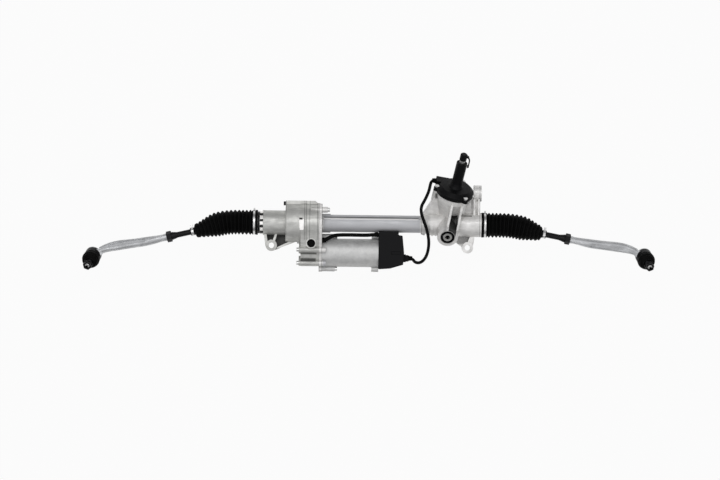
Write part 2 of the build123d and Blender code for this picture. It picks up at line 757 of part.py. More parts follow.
with BuildPart() as input_shaft:
    bar(PINION, pinion_head_end - 7.5, input_end, input_r)
    bar(PINION, pinion_head_end - 8, tower_end - 12, input_bore_r, mode=Mode.SUBTRACT)
    bar(PINION, tower_end - 13, tower_end - 4, torsion_r, mode=Mode.SUBTRACT)
    with Locations(PINION.offset(spline_start)):
        with PolarLocations(input_r, 18):
            Box(0.9, 1, input_end - spline_start + 1, align=(Align.CENTER, Align.CENTER, Align.MIN),
                mode=Mode.SUBTRACT)
finish(input_shaft, "input_shaft")

with BuildPart() as torsion_bar:
    bar(PINION, 0, 10, torsion_r)
    bar(PINION, 10, tower_end - 13, torsion_r - 0.5)
    bar(PINION, tower_end - 13, tower_end - 4, torsion_r)
finish(torsion_bar, "torsion_bar")

with BuildPart() as lower_bearing:
    ring(PINION, lower_bearing_start, lower_bearing_end, lower_bearing_r - fit, lower_journal_r + fit)
finish(lower_bearing, "lower_bearing")

with BuildPart() as upper_bearing:
    ring(PINION, upper_bearing_start, upper_bearing_end, upper_bearing_r - fit, upper_journal_r + fit)
finish(upper_bearing, "upper_bearing")

with BuildPart() as bearing_retainer:
    ring(PINION, upper_bearing_end, retainer_end - 1, upper_bearing_r - fit, pinion_head_r + 1)
finish(bearing_retainer, "bearing_retainer")

with BuildPart() as lower_cap:
    bar(PINION, lower_end, lower_bearing_start - 3, lower_bearing_r - fit)
    with BuildSketch(PINION.offset(lower_end)) as recess:
        RegularPolygon(6, 6)
    extrude(amount=3, mode=Mode.SUBTRACT)
finish(lower_cap, "lower_cap")

# ---------------------------------------------------------------- torque sensor and its cover
sensor_ring_r = 28
magnet_r = 13

with BuildPart() as torque_sensor:
    ring(PINION, sensor_start + 2, sensor_flange_end - 4, sensor_ring_r, magnet_r + 0.5)
    ring(PINION, sensor_start, sensor_start + 2, sensor_cavity_r - fit, sensor_ring_r - 6)
finish(torque_sensor, "torque_sensor")

with BuildPart() as sensor_magnet:
    ring(PINION, sensor_start + 5, sensor_flange_end - 8, magnet_r, input_r)
finish(sensor_magnet, "sensor_magnet")

connector_low = 22
connector_left = 30
connector_half = 15
connector_middle = 87

with BuildPart() as sensor_cover:
    turned(PINION, [(0, sensor_flange_end), (sensor_flange_r, sensor_flange_end), (sensor_flange_r, 87),
                    (sensor_flange_r - 2, 89), (34, cover_end), (18, cover_end + 1), (tower_r + 1.5, 101),
                    (tower_r, 106), (tower_r, tower_end), (0, tower_end)])
    cover_screw_posts(sensor_flange_end, screw_seat, 7)
    middle = PINION.from_local_coords((-connector_low, -connector_left, connector_middle))
    with Locations(Plane(origin=middle, x_dir=PINION.y_dir, z_dir=PINION.z_dir)):
        Box(2 * connector_half, 22, 14)
    roof = cover_end - cover_wall
    turned(PINION, [(0, sensor_flange_end - 1), (sensor_cavity_r - 2, sensor_flange_end - 1),
                    (sensor_cavity_r - 2, roof - 2), (20, roof), (0, roof)], mode=Mode.SUBTRACT)
    bar(PINION, roof - 1, tower_end + 1, input_r + 2.5, mode=Mode.SUBTRACT)
    cover_screw_posts(sensor_flange_end - 10, cover_end, cover_screw_r + fit, mode=Mode.SUBTRACT)
    cover_screw_posts(screw_seat, cover_end + 5, 5.6, mode=Mode.SUBTRACT)
finish(sensor_cover, "sensor_cover")

with BuildPart() as input_seal:
    ring(PINION, tower_end - 6, tower_end - 1, input_r + 2.5 - fit, input_r + fit)
finish(input_seal, "input_seal")

with BuildPart() as cover_screws:
    cover_screw_posts(sensor_flange_end - 9, screw_seat, cover_screw_r)
    cover_screw_posts(screw_seat, screw_seat + 4, 4.8)
finish(cover_screws, "cover_screws")

with BuildPart() as spline_cap:
    bar(PINION, cap_start, cap_end, cap_r)
    chamfer(spline_cap.edges().sort_by(PINION.location.z_axis)[-1], 2)
    strap = Plane(origin=PINION.origin, x_dir=PINION.y_dir, z_dir=yoke_dir)
    plate(strap, [(cap_r - 1, 181), (12.5, 178), (16.5, 170), (17, 152), (13.2, 150), (13.2, 154),
                  (14.6, 156), (14.2, 168), (11, 175), (cap_r - 1, 176)], 7)
    bar(PINION, cap_start - 1, input_end, input_r, mode=Mode.SUBTRACT)
finish(spline_cap, "spline_cap")

# ---------------------------------------------------------------- yoke
with BuildPart() as yoke:
    bar(YOKE, 5, yoke_far, yoke_r)
    bar(RACK, pinion_x - 20, pinion_x + 20, rack_r + fit, mode=Mode.SUBTRACT)
    bar(YOKE, yoke_far - 8, yoke_far + 1, 9, mode=Mode.SUBTRACT)
finish(yoke, "yoke")

with BuildPart() as yoke_spring:
    turned(YOKE, [(9.5, yoke_far), (13, yoke_far + 2), (13, yoke_far + 3), (9.5, yoke_far + 1)])
    turned(YOKE, [(9.5, plug_start - 1), (9.5, plug_start), (13, yoke_far + 4), (13, yoke_far + 3)])
finish(yoke_spring, "yoke_spring")

with BuildPart() as yoke_plug:
    bar(YOKE, plug_start, plug_end, plug_r - fit)
    ring_groove = [(11, plug_end + 1), (15.2, plug_end + 1), (15.2, plug_end - 8), (11, plug_end - 8)]
    turned(YOKE, ring_groove, mode=Mode.SUBTRACT)
    with BuildSketch(YOKE.offset(plug_end)) as recess:
        Circle(4.2)
        with PolarLocations(4.2, 6):
            Circle(1.3)
    extrude(amount=-9, mode=Mode.SUBTRACT)
finish(yoke_plug, "yoke_plug")

# ---------------------------------------------------------------- tie rods
seat_bore_r = inner_ball_r + fit
seat_r = seat_bore_r + seat_wall
cavity_r = seat_r + fit
socket_front = 9
mouth_slope = tan(radians(50))
end_seat_bore_r = outer_ball_r + fit
end_seat_r = end_seat_bore_r + 2.4
end_cavity_r = end_seat_r + fit
side_names = {-1: "left", 1: "right"}
arm_end = end_along - 20
arm_lean = 22           # the arm's section is turned this far about the rod

# The forged arm of the outer end: how far out along the rod each section stands, how far it is
# set aside, its width, its height and its corner radius.
arm_sections = [
    (lock_nut_at + lock_nut_length, 0, 2 * arm_r, 2 * arm_r, arm_r - 0.2),
    (202, 0, 19, 19, 9),
    (232, -1.5, 20, 18, 7.5),
    (262, -4, 21, 16, 6),
    (290, -5.5, 21, 15, 5.5),
    (310, -4.5, 17, 16, 5.5),
    (arm_end, -1.5, 15, 18, 5.5),
]


def socket_plane(side):
    """The inner ball's centre, with the normal out along the rack."""
    centre = (rack_shift + side * ball_span / 2, rack_y, rack_z)
    return Plane(origin=centre, x_dir=(0, 1, 0), z_dir=(side, 0, 0))


def ball_socket(side):
    """The steel socket screwed into the rack's end, with a hollow for the seat."""
    place = socket_plane(side)
    with BuildPart() as socket:
        turned(place, [(0, -socket_back), (socket_r - 2, -socket_back), (socket_r, -socket_back + 2),
                       (socket_r, socket_front - 3), (socket_r - 2, socket_front), (0, socket_front)])
        bar(place, -socket_back - stub_length, -socket_back, rack_stub_r)
        with Locations(place.offset(-socket_back + 5)):
            with Locations((0, socket_r + 8, 0), (0, -socket_r - 8, 0)):
                Box(50, 20, 10, mode=Mode.SUBTRACT)
        ball(place, cavity_r, mode=Mode.SUBTRACT)
        mouth_r = (socket_front + 1) * mouth_slope + 5
        taper(place, 4, socket_front + 1, 4 * mouth_slope + 9.5, mouth_r, mode=Mode.SUBTRACT)
    return socket


def ball_seat(side):
    """The plastic shell between the inner ball and its socket, open towards the rod."""
    rod = rod_plane(side)
    with BuildPart() as seat:
        ball(rod, seat_r)
        ball(rod, seat_bore_r, mode=Mode.SUBTRACT)
        bar(rod, 5.5, 2 * seat_r, 2 * seat_r, mode=Mode.SUBTRACT)
    return seat


def tie_rod(side):
    """The inner rod: a ball, a plain shank, a hexagon by the nut and the thread beyond it."""
    rod = rod_plane(side)
    with BuildPart() as piece:
        ball(rod, inner_ball_r)
        bar(rod, inner_ball_r - 3, lock_nut_at - 14, rod_r)
        taper(rod, lock_nut_at - 14, lock_nut_at - 3, rod_r, 9)
        bar(rod, lock_nut_at - 3, lock_nut_at, 9)
        bar(rod, lock_nut_at, lock_nut_at + 40, rod_r + 0.5)
    return piece


def lock_nut(side):
    """The hexagon nut that locks the toe setting."""
    rod = rod_plane(side)
    with BuildPart() as nut:
        with BuildSketch(rod.offset(lock_nut_at)) as outline:
            RegularPolygon(11, 6, major_radius=False)
        extrude(amount=lock_nut_length)
        bar(rod, lock_nut_at, lock_nut_at + lock_nut_length, rod_r + 0.5, mode=Mode.SUBTRACT)
    return nut


def outer_end(side):
    """The forged arm and the housing of the outer ball joint, with a groove along each face."""
    rod = rod_plane(side)
    end = end_plane(side)
    up = rod.z_dir.cross(rod.x_dir)
    lean = radians(arm_lean)
    flat = rod.x_dir * cos(lean) + up * sin(lean)
    face = rod.z_dir.cross(flat)
    with BuildPart() as piece:
        for along, aside, width, height, corner in arm_sections:
            origin = rod.origin + rod.z_dir * along + rod.x_dir * aside
            with BuildSketch(Plane(origin=origin, x_dir=flat, z_dir=rod.z_dir)):
                RectangleRounded(width, height, corner)
        loft()
        plate(Plane(origin=rod.origin, x_dir=rod.z_dir, z_dir=up),
              [(arm_end - 4, -8), (arm_end - 4, 6), (end_along - 8, 18), (end_along, -6)], 16)
        turned(end, [(0, -15), (16, -15), (end_housing_r, -12), (end_housing_r, 4),
                     (end_housing_r - 1.5, 5), (end_housing_r - 1.5, 10), (end_housing_r - 3, 11.5),
                     (0, 11.5)])
        ball(end, end_cavity_r, mode=Mode.SUBTRACT)
        taper(end, 5, 12.5, 10.5, 15, mode=Mode.SUBTRACT)
        bar(rod, lock_nut_at, lock_nut_at + 46, rod_r + 0.5, mode=Mode.SUBTRACT)
        for way in (-1, 1):
            pocket = Plane(origin=rod.origin + face * (way * 9.2), x_dir=rod.z_dir, z_dir=face)
            plate(pocket, [(214, -4), (214, 4), (262, 0.5), (300, -1), (300, -8), (262, -8.5)], 6,
                  mode=Mode.SUBTRACT)
    return piece


def end_seat(side):
    """The plastic shell between the outer ball and its housing, open towards the stud."""
    end = end_plane(side)
    with BuildPart() as seat:
        ball(end, end_seat_r)
        ball(end, end_seat_bore_r, mode=Mode.SUBTRACT)
        bar(end, 4.5, 2 * end_seat_r, 2 * end_seat_r, mode=Mode.SUBTRACT)
    return seat


def ball_stud(side):
    """The outer ball, its neck, the taper that fits the steering arm, and the thread."""
    end = end_plane(side)
    with BuildPart() as stud:
        ball(end, outer_ball_r)
        turned(end, [(0, 5), (5.5, 8), (5.5, 17), (8, 19), (8, 28), (7, 29), (6, 36),
                     (6, stud_length - 1), (5, stud_length), (0, stud_length)])
        with BuildSketch(end.offset(stud_length)) as socket:
            RegularPolygon(2.6, 6)
        extrude(socket.sketch, amount=-5, mode=Mode.SUBTRACT)
    return stud


def stud_nut(side):
    """The flanged nut on the stud."""
    end = end_plane(side)
    with BuildPart() as nut:
        bar(end, 37, 39, 10.5)
        with BuildSketch(end.offset(39)) as outline:
            RegularPolygon(9, 6, major_radius=False)
        extrude(outline.sketch, amount=7)
        bar(end, 36, 47, 6, mode=Mode.SUBTRACT)
    return nut


def dust_boot(side):
    """The rubber boot from the housing's groove to the stud."""
    end = end_plane(side)
    groove_r = end_housing_r - 1.5 + seat_gap
    with BuildPart() as boot:
        turned(end, [(groove_r, 5.3), (groove_r + 2.2, 5.3), (groove_r + 2.6, 12), (groove_r + 3, 17),
                     (groove_r + 1, 22), (13, 27), (10.5, 28), (8 + seat_gap, 28),
                     (8 + seat_gap, 25.5), (12, 24.5), (groove_r - 1.5, 20.5), (groove_r + 1, 16.5),
                     (groove_r, 12)])
    return boot


def bellows(side):
    """The rubber bellows: a lip on the housing's neck, straight folds, then a cone to the rod."""
    place = socket_plane(side)
    rod = rod_plane(side)
    start = cuff_start - abs(place.origin.X)
    grip = neck_tip - abs(place.origin.X)
    lip_r = neck_r + cuff_wall
    lip_end = start + cuff_lip
    points = [(neck_r, start), (lip_r + 1.6, start), (lip_r + 1.6, lip_end), (lip_r, lip_end + 0.4),
              (lip_r, grip + 1)]
    folds_start = grip + 2
    fold_count = int((bellows_straight - folds_start) / bellows_pitch)
    outer = [(bellows_valley_r, folds_start)]
    for index in range(fold_count):
        outer.append((bellows_r, folds_start + (index + 0.5) * bellows_pitch))
        outer.append((bellows_valley_r, folds_start + (index + 1) * bellows_pitch))
    inner = [(radius - bellows_wall, height) for radius, height in reversed(outer)]
    last = folds_start + fold_count * bellows_pitch
    tip = bellows_length - bellows_cuff
    cone = tip - last
    sections = [(place.offset(last), bellows_valley_r), (place.offset(last + 4), bellows_valley_r - 0.5)]
    for share, aside, radius in cone_sections:
        origin = rod.origin + rod.z_dir * (last + cone * share) + rod.x_dir * aside
        facing = (rod.z_dir + place.z_dir * (1 - share)).normalized()
        sections.append((Plane(origin=origin, x_dir=rod.x_dir, z_dir=facing), radius))
    sections.append((rod.offset(tip), bellows_tip_r))
    with BuildPart() as piece:
        turned(place, points + outer + inner + [(neck_r, grip + 1)])
        for plane, radius in sections:
            with BuildSketch(plane):
                Circle(radius)
        loft()
        for plane, radius in sections:
            with BuildSketch(plane):
                Circle(radius - bellows_wall)
        loft(mode=Mode.SUBTRACT)
        ring(rod, tip, tip + 2, bellows_tip_r, rod_r + seat_gap)
        ring(rod, tip + 2, bellows_length + 3, cuff_r, rod_r + seat_gap)
    return piece


with BuildPart() as big_clamps:
    for side in (-1, 1):
        place = Plane(origin=(0, rack_y, rack_z), x_dir=(0, 1, 0), z_dir=(side, 0, 0))
        band_r = neck_r + cuff_wall
        ring(place, neck_tip - clamp_width - 1, neck_tip - 1, band_r + 1.2, band_r)
        with Locations(place.offset(neck_tip - 1 - clamp_width / 2)):
            with Locations((-band_r - 4, 0, 0)):
                Box(6, 7, clamp_width)
finish(big_clamps, "big_clamps")


def small_clamp(side):
    """The spring clamp on the bellows' cuff, with its two ears."""
    rod = rod_plane(side)
    with BuildPart() as clamp:
        ring(rod, bellows_length - 4, bellows_length + 1.5, cuff_r + 1, cuff_r)
        with Locations(rod.offset(bellows_length - 1)):
            with Locations((-cuff_r - 3.5, -2, 0), (-cuff_r - 3.5, 2, 0)):
                Box(7, 1.2, 5)
            with Locations((-cuff_r - 6.5, 0, 0)):
                Box(1.2, 5, 5)
        bar(rod, bellows_length - 5, bellows_length + 3, cuff_r, mode=Mode.SUBTRACT)
    return clamp


pieces = {
    "ball_socket": ball_socket,
    "ball_seat": ball_seat,
    "tie_rod": tie_rod,
    "lock_nut": lock_nut,
    "outer_end": outer_end,
    "end_seat": end_seat,
    "ball_stud": ball_stud,
    "stud_nut": stud_nut,
    "dust_boot": dust_boot,
    "bellows": bellows,
    "small_clamp": small_clamp,
}
for side, side_name in side_names.items():
    for piece_name, make in pieces.items():
        finish(make(side), f"{piece_name}_{side_name}")


# ---------------------------------------------------------------- sensor cable and breather hose
def corner_radii(points):
    """The largest arc at each corner that leaves a little straight on both of its runs."""
    radii = []
    for before, here, after in zip(points, points[1:], points[2:]):
        first = here - before
        second = after - here
        half_turn = radians(first.get_angle(second)) / 2
        radii.append(0.45 * min(first.length, second.length) / tan(half_turn))
    return radii


def cable(points, radius, name):
    """A round cable along the points, with its bend radii and volume printed."""
    radii = corner_radii(points)
    with BuildPart() as tube:
        with BuildLine() as path:
            FilletPolyline(*points, radius=radii)
        route = path.wires()[0]
        with BuildSketch(Plane(origin=route @ 0, z_dir=route % 0)):
            Circle(radius)
        sweep(path=route)
    expected = pi * radius ** 2 * route.length
    print(name, "length", round(route.length, 1), "radii", [round(value) for value in radii],
          "volume", round(tube.part.volume), "of", round(expected))
    finish(tube, name)


cable_start = PINION.from_local_coords((-connector_low, -connector_left - connector_half, connector_middle))
cable_route = [cable_start, cable_start - PINION.y_dir * 8] + [Vector(*point) for point in (
    (138.5, 147, 41),
    (135.5, 130, 45),
    (127, 110, 50),
    (117, 93, 53),
    (118, 76, 55),
    (125, 58, 56),
    (132, 38, 54),
    (136.5, 16, 47),
    (135.5, -6, 37),
    (130, -24, 27),
    (119, -36, 18),
    (106, -36, 14),
    (99, plug_y, plug_z),
    (90, plug_y, plug_z),
)]
hose_route = [Vector(*point) for point in (
    (case_right, 13.6, 34),
    (case_right + 8, 13.6, 34),
    (case_right + 17, 20, 34.6),
    (case_right + 32, 25.8, 34.4),
    (-40, 26.3, 33.6),
    (-8, 25.7, 34.5),
    (12, 27.6, 33.6),
    (motor_end, 27.6, 33.6),
)]
cable(cable_route, cable_r, "sensor_cable")
cable(hose_route, hose_r, "breather_hose")

with BuildPart() as sensor_plug:
    with Locations((motor_end + 61, plug_y, plug_z)):
        Box(14, 12, 10)
    with Locations((motor_end + 66, plug_y, plug_z)):
        Box(6, 15, 13)
    with Locations((90, plug_y, plug_z)):
        Cylinder(5, 5, rotation=(0, 90, 0), align=(Align.CENTER, Align.CENTER, Align.MAX))
finish(sensor_plug, "sensor_plug")
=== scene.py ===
import json
from math import pi, radians, tan

import bpy
import numpy as np
from bpy.props import FloatProperty, FloatVectorProperty, IntProperty, PointerProperty
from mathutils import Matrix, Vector


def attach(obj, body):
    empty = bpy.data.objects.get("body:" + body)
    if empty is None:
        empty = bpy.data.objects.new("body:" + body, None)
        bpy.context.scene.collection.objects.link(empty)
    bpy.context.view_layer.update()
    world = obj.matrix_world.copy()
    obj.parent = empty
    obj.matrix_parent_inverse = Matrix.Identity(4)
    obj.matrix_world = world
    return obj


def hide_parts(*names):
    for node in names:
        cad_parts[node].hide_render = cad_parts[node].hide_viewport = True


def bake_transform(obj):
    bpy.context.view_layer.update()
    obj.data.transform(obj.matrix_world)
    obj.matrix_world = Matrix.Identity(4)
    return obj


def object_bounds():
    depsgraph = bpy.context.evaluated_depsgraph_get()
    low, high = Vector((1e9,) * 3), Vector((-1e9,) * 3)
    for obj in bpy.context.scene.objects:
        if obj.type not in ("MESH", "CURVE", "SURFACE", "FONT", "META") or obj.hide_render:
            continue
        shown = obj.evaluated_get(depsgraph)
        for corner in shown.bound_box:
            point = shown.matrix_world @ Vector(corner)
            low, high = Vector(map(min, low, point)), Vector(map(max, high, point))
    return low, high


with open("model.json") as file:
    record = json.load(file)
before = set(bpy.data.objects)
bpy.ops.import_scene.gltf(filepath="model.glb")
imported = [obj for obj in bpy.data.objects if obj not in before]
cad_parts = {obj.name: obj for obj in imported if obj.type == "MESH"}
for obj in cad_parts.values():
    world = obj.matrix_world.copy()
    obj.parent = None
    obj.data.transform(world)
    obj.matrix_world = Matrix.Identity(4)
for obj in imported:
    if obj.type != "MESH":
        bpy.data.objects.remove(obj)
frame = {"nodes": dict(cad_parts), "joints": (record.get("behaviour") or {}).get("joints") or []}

bl_info = {
    "name": "Electric Power Steering Rack",
    "version": (1, 0, 0),
    "blender": (4, 5, 0),
    "location": "View3D > Sidebar > Steering Rack",
    "description": "Dresses the packed steering rack with rubber, castings, cables and a studio",
    "category": "Object",
}

CAD_BOX = [list(corner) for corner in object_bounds()]
MM = 0.001
SIDES = {"left": -1, "right": 1}
JOINTS = {joint["name"]: joint for joint in frame["joints"]}
AHEAD, UPWARD = np.array([0.0, 1.0, 0.0]), np.array([0.0, 0.0, 1.0])
NEARLY_STRAIGHT = radians(88)   # half a corner's angle, from which it isn't rounded
ARC_SHARE = 0.48                # of a run that the arc in its corner may take


# ---------------------------------------------------------------- sizes and colours
class RackSizes(bpy.types.PropertyGroup):
    """Sizes of the rubber, the clamps and the cables."""

    bellows_radius: FloatProperty(name="Bellows radius", default=28.5 * MM, unit="LENGTH",
                                  description="Outside radius of the straight folds")
    bellows_pitch: FloatProperty(name="Fold pitch", default=8.6 * MM, unit="LENGTH",
                                 description="Distance from one fold to the next")
    bellows_depth: FloatProperty(name="Fold depth", default=4.2 * MM, unit="LENGTH",
                                 description="How far the valleys lie below the folds")
    cable_diameter: FloatProperty(name="Sensor cable", default=7.2 * MM, unit="LENGTH",
                                  description="Outside diameter of the taped sensor cable")
    hose_diameter: FloatProperty(name="Breather hose", default=8.4 * MM, unit="LENGTH",
                                 description="Outside diameter of the breather hose")
    boot_radius: FloatProperty(name="Boot radius", default=20.4 * MM, unit="LENGTH",
                               description="Outside radius of the outer joints' dust boots")
    thread_pitch: FloatProperty(name="Stud thread", default=1.5 * MM, unit="LENGTH",
                                description="Pitch of the threads on the studs")
    turn_steps: IntProperty(name="Steps round", default=72, min=12,
                            description="Points round each turned surface")


class RackColours(bpy.types.PropertyGroup):
    """Colours of the finishes."""

    casting: FloatVectorProperty(name="Pinion housing", subtype="COLOR", default=(0.85, 0.84, 0.82),
                                 description="Bright die casting of the pinion side")
    servo: FloatVectorProperty(name="Servo housing", subtype="COLOR", default=(0.60, 0.60, 0.575),
                               description="Slightly warmer casting of the motor side")
    motor: FloatVectorProperty(name="Motor case", subtype="COLOR", default=(0.66, 0.66, 0.65),
                               description="Satin silver of the motor")
    forging: FloatVectorProperty(name="Rod ends", subtype="COLOR", default=(0.62, 0.63, 0.64),
                                 description="Tumbled aluminium forging")
    steel: FloatVectorProperty(name="Bright steel", subtype="COLOR", default=(0.72, 0.72, 0.71),
                               description="Zinc plated screws and clamps")
    plastic: FloatVectorProperty(name="Black plastic", subtype="COLOR",
                                 default=(0.0045, 0.0045, 0.005),
                                 description="Moulded covers")
    rubber: FloatVectorProperty(name="Rubber", subtype="COLOR", default=(0.003, 0.003, 0.003),
                                description="Bellows, boots and hose")


# ---------------------------------------------------------------- shader maths
class Value:
    """A shader output that can be added, subtracted, multiplied and divided like a number."""

    def __init__(self, finish, socket):
        self.finish = finish
        self.socket = socket

    def maths(self, operation, *values):
        """A Math node on some values."""
        return self.finish.node("ShaderNodeMath", {"operation": operation}, *values)

    def __add__(self, other):
        return self.maths("ADD", self, other)

    def __sub__(self, other):
        return self.maths("SUBTRACT", self, other)

    def __rsub__(self, other):
        return self.maths("SUBTRACT", other, self)

    def __mul__(self, other):
        return self.maths("MULTIPLY", self, other)

    __radd__ = __add__
    __rmul__ = __mul__

    def sine(self):
        """The sine of the value, in radians."""
        return self.maths("SINE", self)

    def size(self):
        """The value without its sign."""
        return self.maths("ABSOLUTE", self)

    def between(self, low, high):
        """0 below low, 1 above high and a straight rise from one to the other."""
        return self.finish.node("ShaderNodeMapRange", {}, self, low, high, 0.0, 1.0)

    def span(self, low, high, soft):
        """1 from low to high, and a straight fall to 0 over a soft edge on both sides, all in
        millimetres of a value in metres."""
        return self.between((low - soft) * MM, low * MM) * self.below(high, soft)

    def below(self, high, soft):
        """1 up to high, and a straight fall to 0 over a soft edge, in millimetres."""
        return 1.0 - self.between(high * MM, (high + soft) * MM)


class Finish:
    """One material with its Principled shader, built up from nodes."""

    def __init__(self, name, **settings):
        self.material = bpy.data.materials.new(f"{name}_finish")
        self.material.use_nodes = True
        self.tree = self.material.node_tree
        self.shader = self.tree.nodes["Principled BSDF"]
        for socket, value in settings.items():
            self.shader.inputs[socket.replace("_", " ")].default_value = value

    def node(self, kind, settings, *values, output=0, **named):
        """Adds a node: its settings first, then the values or links of its sockets."""
        made = self.tree.nodes.new(kind)
        for setting, choice in settings.items():
            setattr(made, setting, choice)
        sockets = dict(enumerate(values))
        sockets.update((name.replace("_", " "), value) for name, value in named.items())
        for place, value in sockets.items():
            target = made.inputs[place]
            if isinstance(value, Value):
                self.tree.links.new(value.socket, target)
            else:
                target.default_value = value
        return Value(self, made.outputs[output])

    def vector(self, operation, *values, output=0):
        """A Vector Math node on some values."""
        return self.node("ShaderNodeVectorMath", {"operation": operation}, *values, output=output)

    def place(self, stretch=(1, 1, 1), centre=(0, 0, 0)):
        """Object coordinates in metres, moved and stretched."""
        at = self.node("ShaderNodeTexCoord", {}, output=3)
        return self.node("ShaderNodeMapping", {}, Vector=at, Location=centre, Scale=stretch)

    def axis(self, letter):
        """One of the object coordinates, X, Y or Z."""
        at = self.node("ShaderNodeTexCoord", {}, output=3)
        return self.node("ShaderNodeSeparateXYZ", {}, at, output="XYZ".index(letter))

    def noise(self, scale, detail=3.0, rough=0.5, stretch=(1, 1, 1)):
        """Cloudy noise over the object, from 0 to 1."""
        return self.node("ShaderNodeTexNoise", {}, Vector=self.place(stretch), Scale=scale,
                         Detail=detail, Roughness=rough)

    def mix(self, amount, first, second):
        """A colour between two, by an amount from 0 to 1."""
        colour = [value if isinstance(value, Value) else (*value, 1.0) for value in (first, second)]
        made = self.tree.nodes.new("ShaderNodeMix")
        made.data_type = "RGBA"
        for place, value in ((0, amount), (6, colour[0]), (7, colour[1])):
            if isinstance(value, Value):
                self.tree.links.new(value.socket, made.inputs[place])
            else:
                made.inputs[place].default_value = value
        return Value(self, made.outputs[2])

    def feed(self, **links):
        """Links values to the shader's sockets, by name."""
        for socket, value in links.items():
            self.tree.links.new(value.socket, self.shader.inputs[socket.replace("_", " ")])

    def bump(self, height, strength, distance):
        """Raises the surface's shading by a height."""
        normal = self.node("ShaderNodeBump", {}, Strength=strength, Distance=distance,
                           Height=height)
        self.feed(Normal=normal)


def tone(colour, factor):
    """A colour made lighter or darker by a factor."""
    return tuple(min(channel * factor, 1.0) for channel in colour)


def masked(finish, base, zones):
    """A base colour with zones painted over it: each is a colour and a mask of the finish."""
    for shade, mask in zones:
        base = finish.mix(mask(finish), base, shade)
    return base


def near(centre, radius, soft=1.0):
    """A mask that is 1 within a radius of a point in the row frame and 0 beyond it."""
    def mask(finish):
        away = finish.vector("DISTANCE", finish.place(), tuple(centre), output=1)
        return 1.0 - away.between(radius, radius + soft * MM)
    return mask


def inside(soft=1.0, **spans):
    """A mask that is 1 inside a box, given as millimetres from low to high along some axes, and
    falls to 0 over a soft edge outside it."""
    def mask(finish):
        share = 1.0
        for letter, (low, high) in spans.items():
            share = finish.axis(letter).span(low, high, soft) * share
        return share
    return mask


def round_axis(point, axis, low, high, soft=0.6):
    """A mask that is 1 between two distances from a line, in millimetres: the length of the cross
    product of the way from a point on the line with the line's direction."""
    def mask(finish):
        away = finish.vector("SUBTRACT", finish.place(), tuple(point))
        far = finish.vector("LENGTH", finish.vector("CROSS_PRODUCT", away, tuple(axis)), output=1)
        return far.span(low, high, soft) if low > 0 else far.below(high, soft)
    return mask


def slab(point, direction, low, high, soft=1.0):
    """A mask that is 1 between two distances from a point along a direction, in millimetres."""
    def mask(finish):
        away = finish.vector("SUBTRACT", finish.place(), tuple(point))
        return finish.vector("DOT_PRODUCT", away, tuple(direction), output=1).span(low, high, soft)
    return mask


def under(height, soft=1.0):
    """A mask that is 1 up to a height and 0 above it, in millimetres."""
    def mask(finish):
        return finish.axis("Z").below(height, soft)
    return mask


def all_of(*masks):
    """The product of several masks."""
    def mask(finish):
        share = 1.0
        for each in masks:
            share = each(finish) * share
        return share
    return mask


def striped(letter, pitch, share, zone):
    """Stripes along an axis inside another mask: a sine of the place over the pitch, cut at a
    share."""
    def mask(finish):
        wave = (finish.axis(letter) * (2 * pi / (pitch * MM))).sine()
        return wave.between(share, share + 0.25) * zone(finish)
    return mask


def lines_at(places, width, strength, soft=0.5):
    """A mask of thin lines across X at some places, in millimetres."""
    def mask(finish):
        x = finish.axis("X")
        share = 0.0
        for place in places:
            share = (x - place * MM).size().below(width / 2, soft) + share
        return share * strength
    return mask


def casting(name, colour, grain=1.0, shine=0.42, zones=(), metallic=0.6, streak=0.35):
    """Die cast aluminium: cloudy grey with a fine grain and darker, rougher streaks."""
    finish = Finish(name, Metallic=metallic)
    clouds = finish.noise(38, 4, 0.6).between(0.38, 0.66)
    grain_mask = finish.noise(1500, 2, 0.6)
    streaks = finish.noise(120, 3, 0.6, stretch=(0.25, 1, 1)).between(0.45, 0.62)
    base = finish.mix(clouds, tone(colour, 0.84), tone(colour, 1.08))
    base = finish.mix(streaks * streak, base, tone(colour, 0.70))
    base = masked(finish, base, zones)
    finish.feed(Base_Color=base,
                Roughness=shine + clouds * -0.08 + streaks * 0.12 + grain_mask * 0.05)
    finish.bump(grain_mask + clouds * 0.6, 0.25 * grain, 0.0003)
    return finish.material


def turned_metal(name, colour, shine, rings=700, metallic=0.95, zones=()):
    """Machined or plated metal with faint tool marks and slight smudges."""
    finish = Finish(name, Metallic=metallic)
    smudge = finish.noise(90, 4, 0.6).between(0.35, 0.7)
    marks = finish.noise(rings, 2, 0.5, stretch=(1, 0.12, 0.12))
    base = finish.mix(smudge, tone(colour, 0.86), tone(colour, 1.06))
    finish.feed(Base_Color=masked(finish, base, zones), Roughness=shine + smudge * 0.10)
    finish.bump(marks, 0.12, 0.0002)
    return finish.material


def moulded(name, colour, shine, dust=0.5, grain=900, strength=0.15, lift=3.0, gloss=0.10):
    """Plastic or rubber: a fine grain, and a little grey dust in patches."""
    finish = Finish(name, Specular_IOR_Level=gloss)
    dusty = finish.noise(55, 5, 0.65).between(0.46, 0.78)
    fine = finish.noise(grain, 2, 0.6)
    finish.feed(Base_Color=finish.mix(dusty * dust, colour, tone(colour, lift)),
                Roughness=shine + dusty * 0.14)
    finish.bump(fine, strength, 0.0002)
    return finish.material


def coated(name, colour, shine):
    """Black coated steel, rubbed a little brighter in patches."""
    finish = Finish(name, Metallic=0.2, Specular_IOR_Level=0.2)
    rubbed = finish.noise(140, 4, 0.65).between(0.52, 0.8)
    fine = finish.noise(1200, 2, 0.5)
    finish.feed(Base_Color=finish.mix(rubbed * 0.6, colour, tone(colour, 4.0)),
                Roughness=shine + rubbed * -0.1 + fine * 0.05)
    finish.bump(fine, 0.12, 0.0002)
    return finish.material


# ---------------------------------------------------------------- surfaces
def unit(vector):
    """Vectors brought to the length 1."""
    vector = np.asarray(vector, float)
    return vector / np.linalg.norm(vector, axis=-1, keepdims=True)


